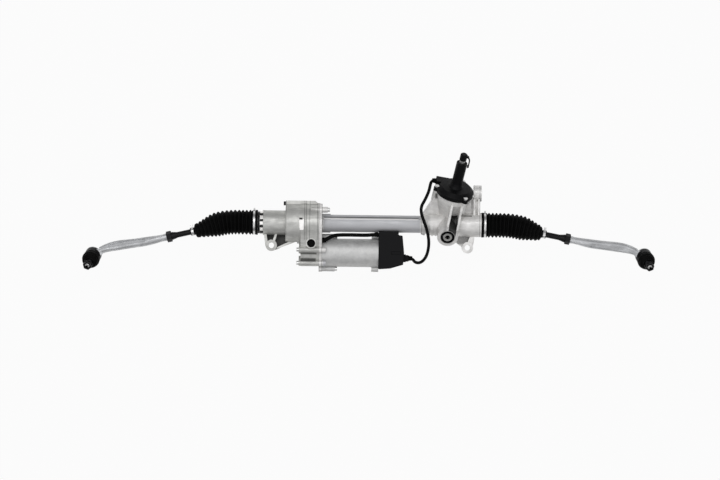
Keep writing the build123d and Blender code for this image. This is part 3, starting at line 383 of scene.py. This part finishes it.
def joint_place(name):
    """Where a joint stands, in metres."""
    return np.array(JOINTS[name]["pos_m"], float)


def joint_axis(name):
    """The direction of a joint's axis."""
    return unit(JOINTS[name]["axis"])


def rod_frame(side):
    """The inner ball's centre, the direction out along the tie rod and the one across it."""
    centre = joint_place(f"{side}_swing")
    across = joint_axis(f"{side}_lift")
    reach = joint_place(f"{side}_end_tilt") - centre
    return centre, unit(reach - (reach @ across) * across), across


def piece(name, points, finish, body=None, close_rows=False, ends=False, sharp=35):
    """A closed mesh from a grid of points, rows by columns, joined round each row.

    Row r and column c make the corner r * columns + c, and each face joins four neighbours.
    With ends, a fan about the middle of the first and of the last row closes them. Where the
    volume that the faces enclose comes out below zero, every face is turned round."""
    rows, columns = points.shape[:2]
    index = np.arange(rows * columns).reshape(rows, columns)
    below = index if close_rows else index[:-1]
    above = np.roll(index, -1, 0) if close_rows else index[1:]
    quads = np.stack([below, np.roll(below, -1, 1), np.roll(above, -1, 1), above], -1)
    quads = quads.reshape(-1, 4)
    corners = points.reshape(-1, 3)
    fans = np.zeros((0, 3), int)
    if ends:
        corners = np.vstack([corners, points[0].mean(0), points[-1].mean(0)])
        first, last = index[0], index[-1]
        middle = np.full(columns, rows * columns)
        fans = np.vstack([np.stack([np.roll(first, -1), first, middle], -1),
                          np.stack([last, np.roll(last, -1), middle + 1], -1)])
    halves = np.vstack([quads[:, :3], quads[:, [0, 2, 3]], fans])
    a, b, c = (corners[halves[:, place]] - corners[0] for place in range(3))
    if np.einsum("ij,ij->", a, np.cross(b, c)) < 0:
        quads, fans = quads[:, ::-1], fans[:, ::-1]
    mesh = bpy.data.meshes.new(name)
    mesh.from_pydata(corners.tolist(), [], quads.tolist() + fans.tolist())
    mesh.update()
    mesh.polygons.foreach_set("use_smooth", np.ones(len(mesh.polygons), bool))
    mesh.set_sharp_from_angle(angle=radians(sharp))
    mesh.materials.append(bpy.data.materials[f"{finish}_finish"])
    made = bpy.data.objects.new(name, mesh)
    bpy.context.scene.collection.objects.link(made)
    if body:
        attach(made, body)
    return made


def turned(centre, axis, across, profile, steps):
    """Points (radius, height) of a profile carried round an axis: centre + height along the axis
    + radius times the cosine across and the sine square to both."""
    radius, height = np.asarray(profile, float).T
    angle = np.arange(steps) * 2 * pi / steps
    third = np.cross(axis, across)
    round_it = np.cos(angle)[:, None] * across + np.sin(angle)[:, None] * third
    return centre + height[:, None, None] * axis + radius[:, None, None] * round_it


def rounded(corners, radius, steps=5):
    """A profile whose inner corners are arcs of one radius, as far as their runs allow."""
    corners = np.asarray(corners, float)
    path = [corners[0]]
    for before, here, after in zip(corners, corners[1:], corners[2:]):
        into, out = before - here, after - here
        short = min(np.linalg.norm(into), np.linalg.norm(out))
        into, out = unit(into), unit(out)
        half = np.arccos(np.clip(into @ out, -1, 1)) / 2
        if half > NEARLY_STRAIGHT:
            path.append(here)
            continue
        back = min(radius / tan(half), ARC_SHARE * short)
        share = np.linspace(0, 1, steps)[:, None]
        start, stop = here + into * back, here + out * back
        path.extend((1 - share) ** 2 * start + 2 * share * (1 - share) * here + share ** 2 * stop)
    path.append(corners[-1])
    return np.array(path)


def carried(centres, radii, steps):
    """Circles along a line of centres: each stands square to the line, with its first point
    level with its centre, and its radius may change from one to the next."""
    along = unit(np.gradient(centres, axis=0))
    first = unit(np.cross(along, (0.0, 0.0, 1.0)))
    second = np.cross(along, first)
    angle = (np.arange(steps) * 2 * pi / steps)[:, None]
    round_it = np.cos(angle) * first[:, None] + np.sin(angle) * second[:, None]
    return centres[:, None] + radii[:, None, None] * round_it


def ease(values, low, high):
    """0 up to low, 1 from high on, and a smooth rise between."""
    share = np.clip((values - low) / (high - low), 0, 1)
    return share * share * (3 - 2 * share)


# ---------------------------------------------------------------- studio
class STEERING_OT_stage(bpy.types.Operator):
    """Sets the camera over the rack, the pale floor, the soft lamps and the world"""

    bl_idname = "steering.stage"
    bl_label = "Camera and studio"

    view_width = 1656 * MM
    camera_height = 9.0
    view_centre = (-21.7 * MM, 14.8 * MM)
    view_roll = 0.0125
    sensor_width = 36.0
    floor_drop = 95 * MM
    floor_half = 6.0
    floor_shade = 0.45
    floor_glow = 0.95
    camera_ray, glossy_ray, transmission_ray = 0, 3, 6
    sky = ((0.0, 0.12), (0.45, 0.20), (0.80, 0.60), (1.0, 0.92))
    lamps = (
        ("key", (-0.5, 0.9, 2.4), (2.6, 0.9), 18),
        ("fill", (0.9, -1.3, 2.0), (2.0, 1.2), 6),
    )

    def lamp(self, name, at, size, energy):
        """A soft rectangular lamp that faces the middle of the rack."""
        data = bpy.data.lights.new(name, "AREA")
        data.shape = "RECTANGLE"
        data.size, data.size_y = size
        data.energy = energy
        made = bpy.data.objects.new(name, data)
        made.location = at
        made.rotation_euler = (-Vector(at)).to_track_quat("-Z", "Y").to_euler()
        bpy.context.scene.collection.objects.link(made)

    def floor(self):
        """The floor lies as far below as the tie rods can swing down. It glows for rays that
        show it, so it looks pale, and it is grey to the light that it throws back."""
        low, half = CAD_BOX[0][2] - self.floor_drop, self.floor_half
        corners = ((-half, -half, low), (half, -half, low), (half, half, low), (-half, half, low))
        mesh = bpy.data.meshes.new("floor")
        mesh.from_pydata(corners, [], [(0, 1, 2, 3)])
        made = bpy.data.objects.new("floor", mesh)
        bpy.context.scene.collection.objects.link(made)
        finish = Finish("studio_floor", Roughness=0.9, Specular_IOR_Level=0.05)
        finish.shader.inputs["Base Color"].default_value = (self.floor_shade,) * 3 + (1,)
        seen = sum(finish.node("ShaderNodeLightPath", {}, output=ray)
                   for ray in (self.camera_ray, self.glossy_ray, self.transmission_ray))
        glow = finish.tree.nodes.new("ShaderNodeEmission")
        blend = finish.tree.nodes.new("ShaderNodeMixShader")
        finish.tree.links.new((seen * self.floor_glow).socket, blend.inputs[0])
        finish.tree.links.new(finish.shader.outputs[0], blend.inputs[1])
        finish.tree.links.new(glow.outputs[0], blend.inputs[2])
        finish.tree.links.new(blend.outputs[0], finish.tree.nodes["Material Output"].inputs[0])
        mesh.materials.append(finish.material)

    def world(self):
        """A sky that is brightest overhead, and plain white where the camera looks past the
        floor."""
        world = bpy.data.worlds.new("studio")
        bpy.context.scene.world = world
        world.use_nodes = True
        tree = world.node_tree
        at = tree.nodes.new("ShaderNodeTexCoord")
        split = tree.nodes.new("ShaderNodeSeparateXYZ")
        ramp = tree.nodes.new("ShaderNodeValToRGB")
        while len(ramp.color_ramp.elements) < len(self.sky):
            ramp.color_ramp.elements.new(0.5)
        for element, (place, shade) in zip(ramp.color_ramp.elements, self.sky):
            element.position = place
            element.color = (shade, shade, shade * 1.02, 1)
        seen = tree.nodes.new("ShaderNodeLightPath")
        white = tree.nodes.new("ShaderNodeBackground")
        blend = tree.nodes.new("ShaderNodeMixShader")
        tree.links.new(at.outputs["Generated"], split.inputs[0])
        tree.links.new(split.outputs["Z"], ramp.inputs[0])
        tree.links.new(ramp.outputs[0], tree.nodes["Background"].inputs["Color"])
        tree.links.new(seen.outputs["Is Camera Ray"], blend.inputs[0])
        tree.links.new(tree.nodes["Background"].outputs[0], blend.inputs[1])
        tree.links.new(white.outputs[0], blend.inputs[2])
        tree.links.new(blend.outputs[0], tree.nodes["World Output"].inputs[0])
        white.inputs["Color"].default_value = (1, 1, 1, 1)

    def execute(self, context):
        scene = context.scene
        scene.view_settings.view_transform = "Standard"
        data = bpy.data.cameras.new("camera")
        data.sensor_width = self.sensor_width
        middle = joint_place("nut_spin")[2]
        data.lens = data.sensor_width * (self.camera_height - middle) / self.view_width
        data.clip_end = 30.0
        camera = bpy.data.objects.new("camera", data)
        camera.location = (*self.view_centre, self.camera_height)
        camera.rotation_euler = (0, 0, self.view_roll)
        scene.collection.objects.link(camera)
        scene.camera = camera
        for lamp in self.lamps:
            self.lamp(*lamp)
        self.floor()
        self.world()
        return {"FINISHED"}


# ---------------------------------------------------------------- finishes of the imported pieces
class STEERING_OT_finishes(bpy.types.Operator):
    """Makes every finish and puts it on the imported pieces"""

    bl_idname = "steering.finishes"
    bl_label = "Finishes"

    tube_shade = (0.52, 0.525, 0.54)
    board_green = (0.02, 0.12, 0.05)
    seat_cream = (0.55, 0.53, 0.46)
    coats = {
        "rack_housing": "pinion_casting",
        "servo_housing": "servo_casting",
        "motor_housing": "motor_case",
        "housing_bolts": "joint_bolts",
        "outer_end_left": "forging",
        "outer_end_right": "forging",
        "ecu_housing": "case_coating",
        "ecu_cover": "grey_plastic",
        "sensor_cover": "black_plastic",
        "sensor_plug": "black_plastic",
        "spline_cap": "black_plastic",
        "circuit_board": "board_resist",
        "torque_sensor": "board_resist",
        "input_seal": "rubber",
        "drive_belt": "rubber",
        "sensor_cable": "rubber",
        "breather_hose": "rubber",
        "yoke": "machined_aluminium",
        "yoke_plug": "plug_steel",
        "nut_pulley": "machined_aluminium",
        "motor_pulley": "machined_aluminium",
        "stator": "laminations",
        "rotor": "laminations",
    }
    paired_coats = {
        "tie_rod": "black_coated",
        "lock_nut": "black_coated",
        "stud_nut": "black_coated",
        "ball_seat": "seat_plastic",
        "end_seat": "seat_plastic",
        "dust_boot": "rubber",
        "bellows": "rubber",
    }
    plated = ("bolts", "screws", "clamp", "plug", "cap", "retainer")

    def pinion_zones(self, casting_colour, dark, shadow):
        """The tube's own tint, dark joint lines, and painted shade and highlights on the pinion
        housing. Places are in millimetres.
        """
        pinion, along = joint_place("pinion_spin"), joint_axis("pinion_spin")
        up = unit(np.cross((1, 0, 0), along))
        right = np.cross(along, up)
        outside = slab(pinion, up, 10, 90)
        bright = tone(casting_colour, 1.15)
        # masks of painted shade: the pocket between the twin ribs and the tower's flank
        pocket = all_of(slab(pinion, right, -1.6, 16.6, 0.4), slab(pinion, along, 4, 34, 2),
                        outside)
        flank = all_of(slab(pinion, right, -10, -9, 5), slab(pinion, along, 14, 18, 12), outside)
        return [
            # the tube's own bluish tint, and along its ridge on the upper side a painted shade line
            # and a painted highlight line
            (self.tube_shade, inside(5, X=(-104, 114), Z=(-20, 46))),
            (dark, inside(0.7, X=(-104, 112), Y=(66, 67), Z=(20, 50))),
            (bright, inside(0.7, X=(-104, 112), Y=(62.4, 63.6), Z=(20, 50))),
            # joints and rings across the rack
            (dark, lines_at((-116, -109, 119.5, 252.5), 0.5, 0.7)),
            # painted shade in the pocket between the twin ribs, and on the tower's flank
            (dark, pocket),
            (tone(bright, 0.5), flank),
            # painted shade beside the tower, above the neck, on the ear's floor and in stripes left
            # of the yoke boss
            (shadow, inside(4.0, X=(151, 153), Y=(114, 122), Z=(10, 60))),
            (shadow, inside(1.5, X=(206, 234), Y=(72.5, 73.2), Z=(20, 60))),
            (tone(bright, 0.4), inside(2.5, X=(203, 232), Y=(10, 24), Z=(4, 22))),
            (tone(bright, 0.6),
             striped("X", 9, 0.3, inside(8, X=(134, 143), Y=(32, 42), Z=(20, 60)))),
        ]

    def servo_zones(self, casting_colour, dark, shadow, black):
        """Dark joint lines, and painted shade and highlights on the servo housing. Places are in
        millimetres.
        """
        bright = tone(casting_colour, 1.15)
        rings = lines_at((-191.8, -149.3, -145.2, -137.2, -119.6, -116), 0.7, 0.6)
        return [
            # dark joint lines round the barrel and the belt case, and painted shade in the barrel's
            # grooves and at its step, on the upper side only
            (dark, all_of(rings, inside(Y=(14, 120)))),
            # painted shade on the floors of the ear's pockets
            (dark, inside(0.6, X=(-300, -166), Z=(5.7, 7.4))),
            # painted shade in two bands on the belt case's lower side
            (shadow, inside(3.0, X=(-156, -124), Y=(-34.5, -30))),
            (shadow, inside(2.0, X=(-157, -122), Y=(-18.5, -17))),
            # a painted highlight on the pad on the barrel's top, and painted shade on its sloped
            # end
            (bright, inside(0.4, X=(-161, -151), Y=(35, 61), Z=(62.5, 90))),
            (dark, inside(0.4, X=(-161, -154), Y=(60, 64), Z=(62, 90))),
            # painted shade in the neck's groove and in the gaps between its ribs, and a painted
            # highlight on the ribs
            (black, inside(0.4, X=(-256.6, -252.6))),
            (bright, inside(0.4, X=(-251.4, -245))),
            (black, striped("Y", 13.5, 0.1, inside(0.4, X=(-252, -244.6)))),
        ]

    def make(self, colours):
        """Every finish by its name."""
        steel, black, rubber = tuple(colours.steel), tuple(colours.plastic), tuple(colours.rubber)
        bright, servo = tuple(colours.casting), tuple(colours.servo)
        # dark serves the joint lines and painted shade; shadow is a lighter painted shade
        dark, shadow = tone(servo, 0.08), tone(servo, 0.22)
        pinion, along = joint_place("pinion_spin"), joint_axis("pinion_spin")
        up = unit(np.cross((1, 0, 0), along))
        sockets = [(tone(black, 1.4), near(joint_place(f"{side}_end_tilt"), 21 * MM))
                   for side in SIDES]
        plug_rings = [(tone(black, 3.0), round_axis(pinion, up, 10.6, 15.6)),
                      (black, round_axis(pinion, up, 0, 4.9))]
        made = (
            casting("pinion_casting", bright, shine=0.46, metallic=0.35,
                    zones=self.pinion_zones(bright, dark, shadow)),
            casting("servo_casting", servo, shine=0.48,
                    zones=self.servo_zones(bright, dark, shadow, black)),
            casting("forging", tuple(colours.forging), grain=0.0, shine=0.46, zones=sockets,
                    streak=0.1, metallic=0.6),
            turned_metal("plug_steel", tone(servo, 0.95), 0.36, zones=plug_rings),
            turned_metal("motor_case", tuple(colours.motor), 0.50, metallic=0.5),
            turned_metal("zinc_plate", steel, 0.30),
            turned_metal("joint_bolts", steel, 0.34,
                         zones=[(tone(black, 2), inside(X=(-300, -191)))]),
            turned_metal("stud_steel", steel, 0.34, zones=[(tone(black, 2.5), under(31.5))]),
            turned_metal("ground_steel", tone(steel, 0.9), 0.24, rings=1400),
            turned_metal("laminations", tone(steel, 0.6), 0.45, rings=2600),
            turned_metal("machined_aluminium", servo, 0.3),
            coated("black_coated", tone(black, 1.2), 0.42),
            moulded("black_plastic", black, 0.46, dust=0.3, lift=2.2),
            moulded("grey_plastic", tone(black, 1.6), 0.5, dust=0.3, lift=1.8),
            moulded("case_coating", tone(black, 1.1), 0.5, dust=0.35, grain=1400, strength=0.3,
                    lift=2.2),
            moulded("rubber", rubber, 0.52, dust=0.25, strength=0.1, lift=2.0, gloss=0.05),
            moulded("cable_wrap", tone(rubber, 0.9), 0.6, dust=0.3, grain=2400, strength=0.4),
            moulded("board_resist", self.board_green, 0.35),
            moulded("seat_plastic", self.seat_cream, 0.4, lift=1.1),
        )
        return {material.name: material for material in made}

    def execute(self, context):
        finishes = self.make(context.scene.steering_colours)
        coats = dict(self.coats)
        for side in SIDES:
            coats.update((f"{name}_{side}", coat) for name, coat in self.paired_coats.items())
        for name, node in frame["nodes"].items():
            plain = "zinc_plate" if any(word in name for word in self.plated) else "ground_steel"
            node.data.materials.clear()
            node.data.materials.append(finishes[f"{coats.get(name, plain)}_finish"])
        return {"FINISHED"}


# ---------------------------------------------------------------- cables
def routes():
    """The points that the sensor cable and the breather hose pass, in metres."""
    pinion, along = joint_place("pinion_spin"), joint_axis("pinion_spin")
    up = unit(np.cross((1, 0, 0), along))
    right = np.cross(along, up)
    start = pinion + (-22 * up - 45 * right + 87 * along) * MM
    sensor_route = [tuple(start), tuple(start - right * 8 * MM)] + [
        tuple(value * MM for value in point) for point in (
            (138.5, 147, 41),
            (135.5, 130, 45),
            (127, 110, 50),
            (117, 93, 53),
            (118, 76, 55),
            (125, 58, 56),
            (132, 38, 54),
            (136.5, 16, 47),
            (135.5, -6, 37),
            (130, -24, 27),
            (119, -36, 18),
            (106, -36, 14),
            (99, -26, 14),
            (90, -26, 14),
        )]
    hose_route = [tuple(value * MM for value in point) for point in (
        (-109, 13.6, 34),
        (-101, 13.6, 34),
        (-92, 20, 34.6),
        (-77, 25.8, 34.4),
        (-40, 26.3, 33.6),
        (-8, 25.7, 34.5),
        (12, 27.6, 33.6),
        (21, 27.6, 33.6),
    )]
    return sensor_route, hose_route


class STEERING_OT_cables(bpy.types.Operator):
    """Lays the taped sensor cable and the breather hose along their routes"""

    bl_idname = "steering.cables"
    bl_label = "Sensor cable and breather hose"

    cable_length = 252.6 * MM
    hose_length = 132.8 * MM

    def lay(self, name, route, diameter, finish, node, length):
        """A smooth line through the air with the route's points as its control points."""
        curve = bpy.data.curves.new(name, "CURVE")
        curve.dimensions = "3D"
        curve.resolution_u = 12
        curve.bevel_depth = diameter / 2
        curve.bevel_resolution = 6
        curve.use_fill_caps = True
        spline = curve.splines.new("NURBS")
        spline.points.add(len(route) - 1)
        for point, place in zip(spline.points, route):
            point.co = (*place, 1.0)
        spline.order_u = 3
        spline.use_endpoint_u = True
        curve.materials.append(bpy.data.materials[f"{finish}_finish"])
        made = bpy.data.objects.new(name, curve)
        bpy.context.scene.collection.objects.link(made)
        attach(made, "housing")
        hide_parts(node)

    def execute(self, context):
        sizes = context.scene.steering_sizes
        sensor_route, hose_route = routes()
        self.lay("sensor_lead", sensor_route, sizes.cable_diameter, "cable_wrap",
                 "sensor_cable", self.cable_length)
        self.lay("vent_hose", hose_route, sizes.hose_diameter, "rubber",
                 "breather_hose", self.hose_length)
        return {"FINISHED"}


# ---------------------------------------------------------------- bellows
class STEERING_OT_bellows(bpy.types.Operator):
    """Moulds the two bellows in lengths, with a collar held to the housing and a cuff to the rod"""

    bl_idname = "steering.bellows"
    bl_label = "Bellows"

    first_fold = 270.0 * MM
    body_end = 344.0 * MM
    cone_end = 354.0 * MM
    lift_end = 372.0 * MM
    margin = 1.0 * MM
    straight_until = 288.0 * MM
    on_rod_from = 398.0 * MM
    tail_reach = 92.8 * MM
    wall = 1.6 * MM
    row_step = 0.6 * MM
    cone_places = np.array([350, 362, 380, 399]) * MM
    cone_drops = np.array([0, 2.3, 7.6, 12.6]) * MM
    # radius and height of the big end's collar along the rack, and of the small end's cuff along
    # the rod, in millimetres
    collar = np.array([(25.1, 257), (28, 257), (28.6, 257.6), (28.6, 261.8), (28.1, 262.4),
                       (26.9, 262.6), (26.9, 267.8), (28.1, 268.1), (28.3, 269), (25.2, 270.8),
                       (23.2, 270.8), (23.2, 268.9), (25.1, 268.9)])
    cuff = np.array([(14.6, 92), (16.4, 92.4), (16, 94.2), (13.2, 96.2), (9.4, 97.4), (8.9, 98.4),
                     (8.65, 99), (8.65, 106), (9.4, 106.4), (9.4, 107.4), (6.7, 107.4), (6.7, 98),
                     (8, 96.2), (12, 94.4)])
    corner = 0.7 * MM

    def line(self, side, reach):
        """The middle line at a distance from the rack's middle: the rack's own axis, easing over
        to the tie rod's line between the straight folds and the small end."""
        centre, out, across = rod_frame(side)
        away = (reach - abs(centre[0])) / abs(out[0])
        level = np.full_like(reach, 1.0)
        on_axis = np.stack([SIDES[side] * reach, centre[1] * level, centre[2] * level], 1)
        on_rod = centre + away[:, None] * out
        share = ease(reach, self.straight_until, self.on_rod_from)[:, None]
        return on_axis * (1 - share) + on_rod * share

    def radius(self, sizes, reach):
        """Outside radius: a straight run and then a cone, less a wave of one turn to the pitch
        whose crests are rounder than its valleys and which grows shallower down the cone."""
        high = sizes.bellows_radius - np.interp(reach, self.cone_places, self.cone_drops)
        turn = 2 * pi * (reach - self.first_fold) / sizes.bellows_pitch
        wave = (0.5 - 0.5 * np.cos(turn)) ** 0.75
        depth = sizes.bellows_depth * (1 - 0.35 * ease(reach, self.body_end, self.cone_places[-1]))
        return high - depth * (1 - wave)

    def length(self, name, side, sizes, low, high):
        """One length of the bellows: its outside and, a wall's thickness within, its inside."""
        rows = int((high - low) / self.row_step) + 1
        reach = np.linspace(low, high, rows)
        middle = self.line(side, reach)
        outside = carried(middle, self.radius(sizes, reach), sizes.turn_steps)
        inside = carried(middle, self.radius(sizes, reach) - self.wall, sizes.turn_steps)
        return piece(name, np.concatenate([outside, inside[::-1]]), "rubber", close_rows=True,
                     sharp=60)

    def execute(self, context):
        sizes = context.scene.steering_sizes
        for side, sign in SIDES.items():
            centre, out, across = rod_frame(side)
            axis = np.array([sign, 0.0, 0.0])
            middle = np.array([0.0, centre[1], centre[2]])
            tail_end = abs(centre[0]) + self.tail_reach * abs(out[0])
            body = self.length(f"bellows_body_{side}", side, sizes, self.first_fold, self.body_end)
            cone = self.length(f"bellows_cone_{side}", side, sizes, self.body_end, self.cone_end)
            tail = self.length(f"bellows_tail_{side}", side, sizes, self.cone_end, tail_end)
            # points along the middle line, each a margin from the rings where two lengths meet
            bends = self.line(side, np.array([
                self.first_fold + self.margin, self.body_end - 3 * self.margin,
                self.body_end + self.margin, self.cone_end - self.margin,
                self.cone_end + self.margin, self.lift_end]))
            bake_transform(body)
            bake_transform(cone)
            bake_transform(tail)
            collar = turned(middle, axis, AHEAD, rounded(self.collar * MM, self.corner),
                            sizes.turn_steps)
            neck = piece(f"bellows_collar_{side}", collar, "rubber", "housing", close_rows=True)
            sleeve = turned(centre, out, across, rounded(self.cuff * MM, self.corner),
                            sizes.turn_steps)
            cuff = piece(f"bellows_cuff_{side}", sleeve, "rubber", f"{side}_rod", close_rows=True)
            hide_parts(f"bellows_{side}")
        return {"FINISHED"}


# ---------------------------------------------------------------- outer joints
class STEERING_OT_joints(bpy.types.Operator):
    """Makes the dust boots, their rings and the threaded studs of the outer ball joints"""

    bl_idname = "steering.joints"
    bl_label = "Outer ball joints"

    # radius and height along the stud, in millimetres
    boot = np.array([(17.65, 5.2), (19.4, 5.2), (19.9, 6), (19.4, 7), (18.5, 7.6), (18.6, 9),
                     (19.9, 10.5), (20.4, 13.5), (20.1, 16.5), (18.6, 18.6), (17.9, 19.4),
                     (18.3, 20.4), (18.2, 22.4), (16.4, 24.8), (13, 26.2), (11.4, 26.5),
                     (11.2, 27.8), (10.2, 28.6), (8.6, 28.6), (8.2, 27.8), (8.2, 25.4),
                     (11.5, 24.6), (15.6, 22.8), (16.4, 21), (16.2, 18.6), (18.4, 16),
                     (18.6, 13.5), (18, 11.4), (17.65, 9)])
    boot_widest = 20.4 * MM
    boot_bulge = 18.7 * MM
    boot_bends = (8 * MM, 26 * MM)
    stud = np.array([(0.2, -11), (4.3, -10.1), (7.8, -7.8), (10.1, -4.3), (11, 0), (10.1, 4.3),
                     (7.8, 7.8), (5.5, 9.5), (5.5, 17), (8, 19), (8, 28), (7, 29), (6.1, 30)])
    stud_steps = 96
    thread = (30 * MM, 47 * MM)
    thread_depth = 0.8 * MM
    thread_radius = 6.1 * MM
    stud_end = 48 * MM
    key_width = 2.6 * MM
    key_depth = 5 * MM

    def frame(self, side):
        """The ball's centre, the stud's axis and the direction across it."""
        return (joint_place(f"{side}_end_tilt"), joint_axis(f"{side}_stud_spin"),
                joint_axis(f"{side}_end_tilt"))

    def ring(self, name, side, radius, height, wire, finish, body):
        """A wire ring: a small circle carried round the stud's axis, in millimetres."""
        turn = np.arange(12) * 2 * pi / 12
        profile = np.stack([radius + wire * np.cos(turn), height + wire * np.sin(turn)], 1) * MM
        points = turned(*self.frame(side), profile, 64)
        return piece(name, points, finish, body, close_rows=True)

    def threaded(self, sizes, steps):
        """Heights and radii of the stud, rows by steps: the turned part's radius; on the thread a
        triangle wave of height over pitch less the share of a turn; and a hexagon in the end."""
        angle = np.arange(steps) * 2 * pi / steps
        plain = rounded(self.stud * MM, 0.5 * MM, 3)
        heights = np.arange(*self.thread, sizes.thread_pitch / 8)
        turns = heights[:, None] / sizes.thread_pitch - angle / (2 * pi)
        rise = 1 - np.abs(2 * (turns % 1) - 1)
        fade = ease(heights, self.thread[0], self.thread[0] + sizes.thread_pitch)[:, None]
        thread = self.thread_radius - self.thread_depth * (1 - rise) * fade
        hexagon = self.key_width / np.cos((angle + pi / 6) % (pi / 3) - pi / 6)
        level = np.ones(steps)
        key_floor = self.stud_end - self.key_depth
        rows = [(radius * level, height) for radius, height in plain] + list(zip(thread, heights))
        rows += [(5.1 * MM * level, self.thread[1]), (4.6 * MM * level, self.stud_end),
                 (hexagon, self.stud_end), (hexagon, key_floor), (0.2 * MM * level, key_floor)]
        radii = np.array([radius for radius, height in rows])
        return radii, np.array([height for radius, height in rows])

    def execute(self, context):
        sizes = context.scene.steering_sizes
        for side in SIDES:
            centre, axis, across = self.frame(side)
            profile = self.boot * MM
            wider = sizes.boot_radius / self.boot_widest
            profile[:, 0] *= np.where(profile[:, 0] > self.boot_bulge, wider, 1)
            skin = turned(centre, axis, across, rounded(profile, 1.2 * MM), sizes.turn_steps)
            boot = piece(f"boot_{side}", skin, "rubber", close_rows=True, sharp=50)
            start, end = (centre + axis * height for height in self.boot_bends)
            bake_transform(boot)
            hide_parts(f"dust_boot_{side}")
            self.ring(f"boot_ring_{side}", side, 18.9, 8.3, 0.6, "black_coated", f"{side}_rod")
            self.ring(f"boot_clip_{side}", side, 11.5, 27, 0.5, "black_coated", f"{side}_end_seat")
            radii, heights = self.threaded(sizes, self.stud_steps)
            angle = np.arange(self.stud_steps) * 2 * pi / self.stud_steps
            third = np.cross(axis, across)
            around = np.cos(angle)[:, None] * across + np.sin(angle)[:, None] * third
            points = centre + heights[:, None, None] * axis + radii[:, :, None] * around
            stud = piece(f"threaded_stud_{side}", points, "stud_steel", f"{side}_stud", ends=True)
            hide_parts(f"ball_stud_{side}")
        return {"FINISHED"}


# ---------------------------------------------------------------- clamps and grommets
class STEERING_OT_fittings(bpy.types.Operator):
    """Makes the big clamps with their crimped ears, the case plug and the cables' grommets"""

    bl_idname = "steering.fittings"
    bl_label = "Clamps and grommets"

    # radius and height of each turned profile, in millimetres
    band = np.array([(27.05, 262.9), (27.6, 262.7), (28.15, 263), (28.2, 263.6), (28, 264.2),
                     (28, 266.3), (28.2, 266.9), (28.15, 267.4), (27.6, 267.7), (27.05, 267.5)])
    plug = np.array([(0.2, 0.1), (9.3, 0.1), (9.3, 5.2), (8.4, 6.2), (7, 6.2), (6.2, 4.6),
                     (3.2, 4.4), (0.2, 4.4)])
    plug_place = np.array([-133.7, 6, 46.5])
    grommet = np.array([(3.65, 0), (6.2, 0), (6.2, 2), (5.4, 2.6), (5.4, 3.6), (5.9, 4.2),
                        (5.9, 5), (4.9, 5.8), (4.9, 6.8), (5.3, 7.4), (5.3, 8), (4.3, 9.4),
                        (3.65, 9.4)])
    hose_end = np.array([(4.25, 1), (5.6, 1), (5.9, 1.6), (5.9, 3.2), (5.2, 3.8), (5.2, 8.6),
                         (4.8, 9.4), (4.25, 9.4)])
    ear_edges = (263.2, 267.2)
    ear_rise = 5.2
    ear_bulge = 1.6

    def sleeve(self, name, at, towards, profile):
        """A turned sleeve about a cable, from a point towards another."""
        axis = unit(np.array(towards) - np.array(at))
        across = unit(np.cross(axis, (0.3, 0.2, 1.0)))
        points = turned(np.array(at), axis, across, rounded(profile * MM, 0.4 * MM, 3), 48)
        piece(name, points, "rubber", "housing", close_rows=True)

    def ear(self, side, middle, axis):
        """A crimped ear: a strip that rises from the band as 1 less a power of the way across and
        bulges past its own foot by a sine, closed round each cross-section."""
        way = np.linspace(-1, 1, 25)
        rise = self.ear_rise * (1 - np.abs(way) ** 2.6)
        bulge = self.ear_bulge * np.sin(pi * way)
        outer = np.stack([7.5 * way - bulge, 27.9 + rise], 1) * MM
        inner = np.stack([6.3 * way - bulge, 27.2 + 0.78 * rise], 1) * MM
        low, high = self.ear_edges
        rows = [middle + axis * edge * MM + line[:, :1] * UPWARD + line[:, 1:] * AHEAD
                for line, edge in ((outer, low), (outer, high), (inner, high), (inner, low))]
        return piece(f"clamp_ear_{side}", np.stack(rows, 1), "zinc_plate", "housing", ends=True)

    def execute(self, context):
        for side, sign in SIDES.items():
            middle = joint_place(f"{side}_swing") * (0, 1, 1)
            axis = np.array([sign, 0.0, 0.0])
            band = piece(f"clamp_band_{side}", turned(middle, axis, AHEAD, self.band * MM, 96),
                         "zinc_plate", "housing", close_rows=True)
            self.ear(side, middle, axis)
        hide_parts("big_clamps")
        dish = turned(self.plug_place * MM, UPWARD, np.array([1.0, 0.0, 0.0]),
                      rounded(self.plug * MM, 0.6 * MM), 64)
        plug = piece("case_plug", dish, "rubber", "housing", ends=True)
        sensor_route, hose_route = routes()
        for name, route, profile in (("sensor_grommet", sensor_route, self.grommet),
                                     ("unit_grommet", sensor_route[::-1], self.grommet),
                                     ("hose_foot", hose_route, self.hose_end),
                                     ("hose_head", hose_route[::-1], self.hose_end)):
            self.sleeve(name, route[0], route[1], profile)
        return {"FINISHED"}


# ---------------------------------------------------------------- panel and registration
class STEERING_PT_panel(bpy.types.Panel):
    """Lists the steps that dress the rack"""

    bl_idname = "STEERING_PT_panel"
    bl_label = "Steering Rack"
    bl_space_type = "VIEW_3D"
    bl_region_type = "UI"
    bl_category = "Steering Rack"

    def draw(self, context):
        for group in (context.scene.steering_sizes, context.scene.steering_colours):
            for name in group.__annotations__:
                self.layout.prop(group, name)
        for step in STEPS:
            self.layout.operator(step.bl_idname)


STEPS = (STEERING_OT_stage, STEERING_OT_finishes, STEERING_OT_cables, STEERING_OT_bellows,
         STEERING_OT_joints, STEERING_OT_fittings)
CLASSES = (RackSizes, RackColours, *STEPS, STEERING_PT_panel)


def register():
    for each in CLASSES:
        bpy.utils.register_class(each)
    bpy.types.Scene.steering_sizes = PointerProperty(type=RackSizes)
    bpy.types.Scene.steering_colours = PointerProperty(type=RackColours)


def unregister():
    del bpy.types.Scene.steering_colours
    del bpy.types.Scene.steering_sizes
    for each in reversed(CLASSES):
        bpy.utils.unregister_class(each)


def main():
    """Runs every step in order."""
    register()
    for step in STEPS:
        family, name = step.bl_idname.split(".")
        getattr(getattr(bpy.ops, family), name)()


if __name__ == "__main__":
    main()
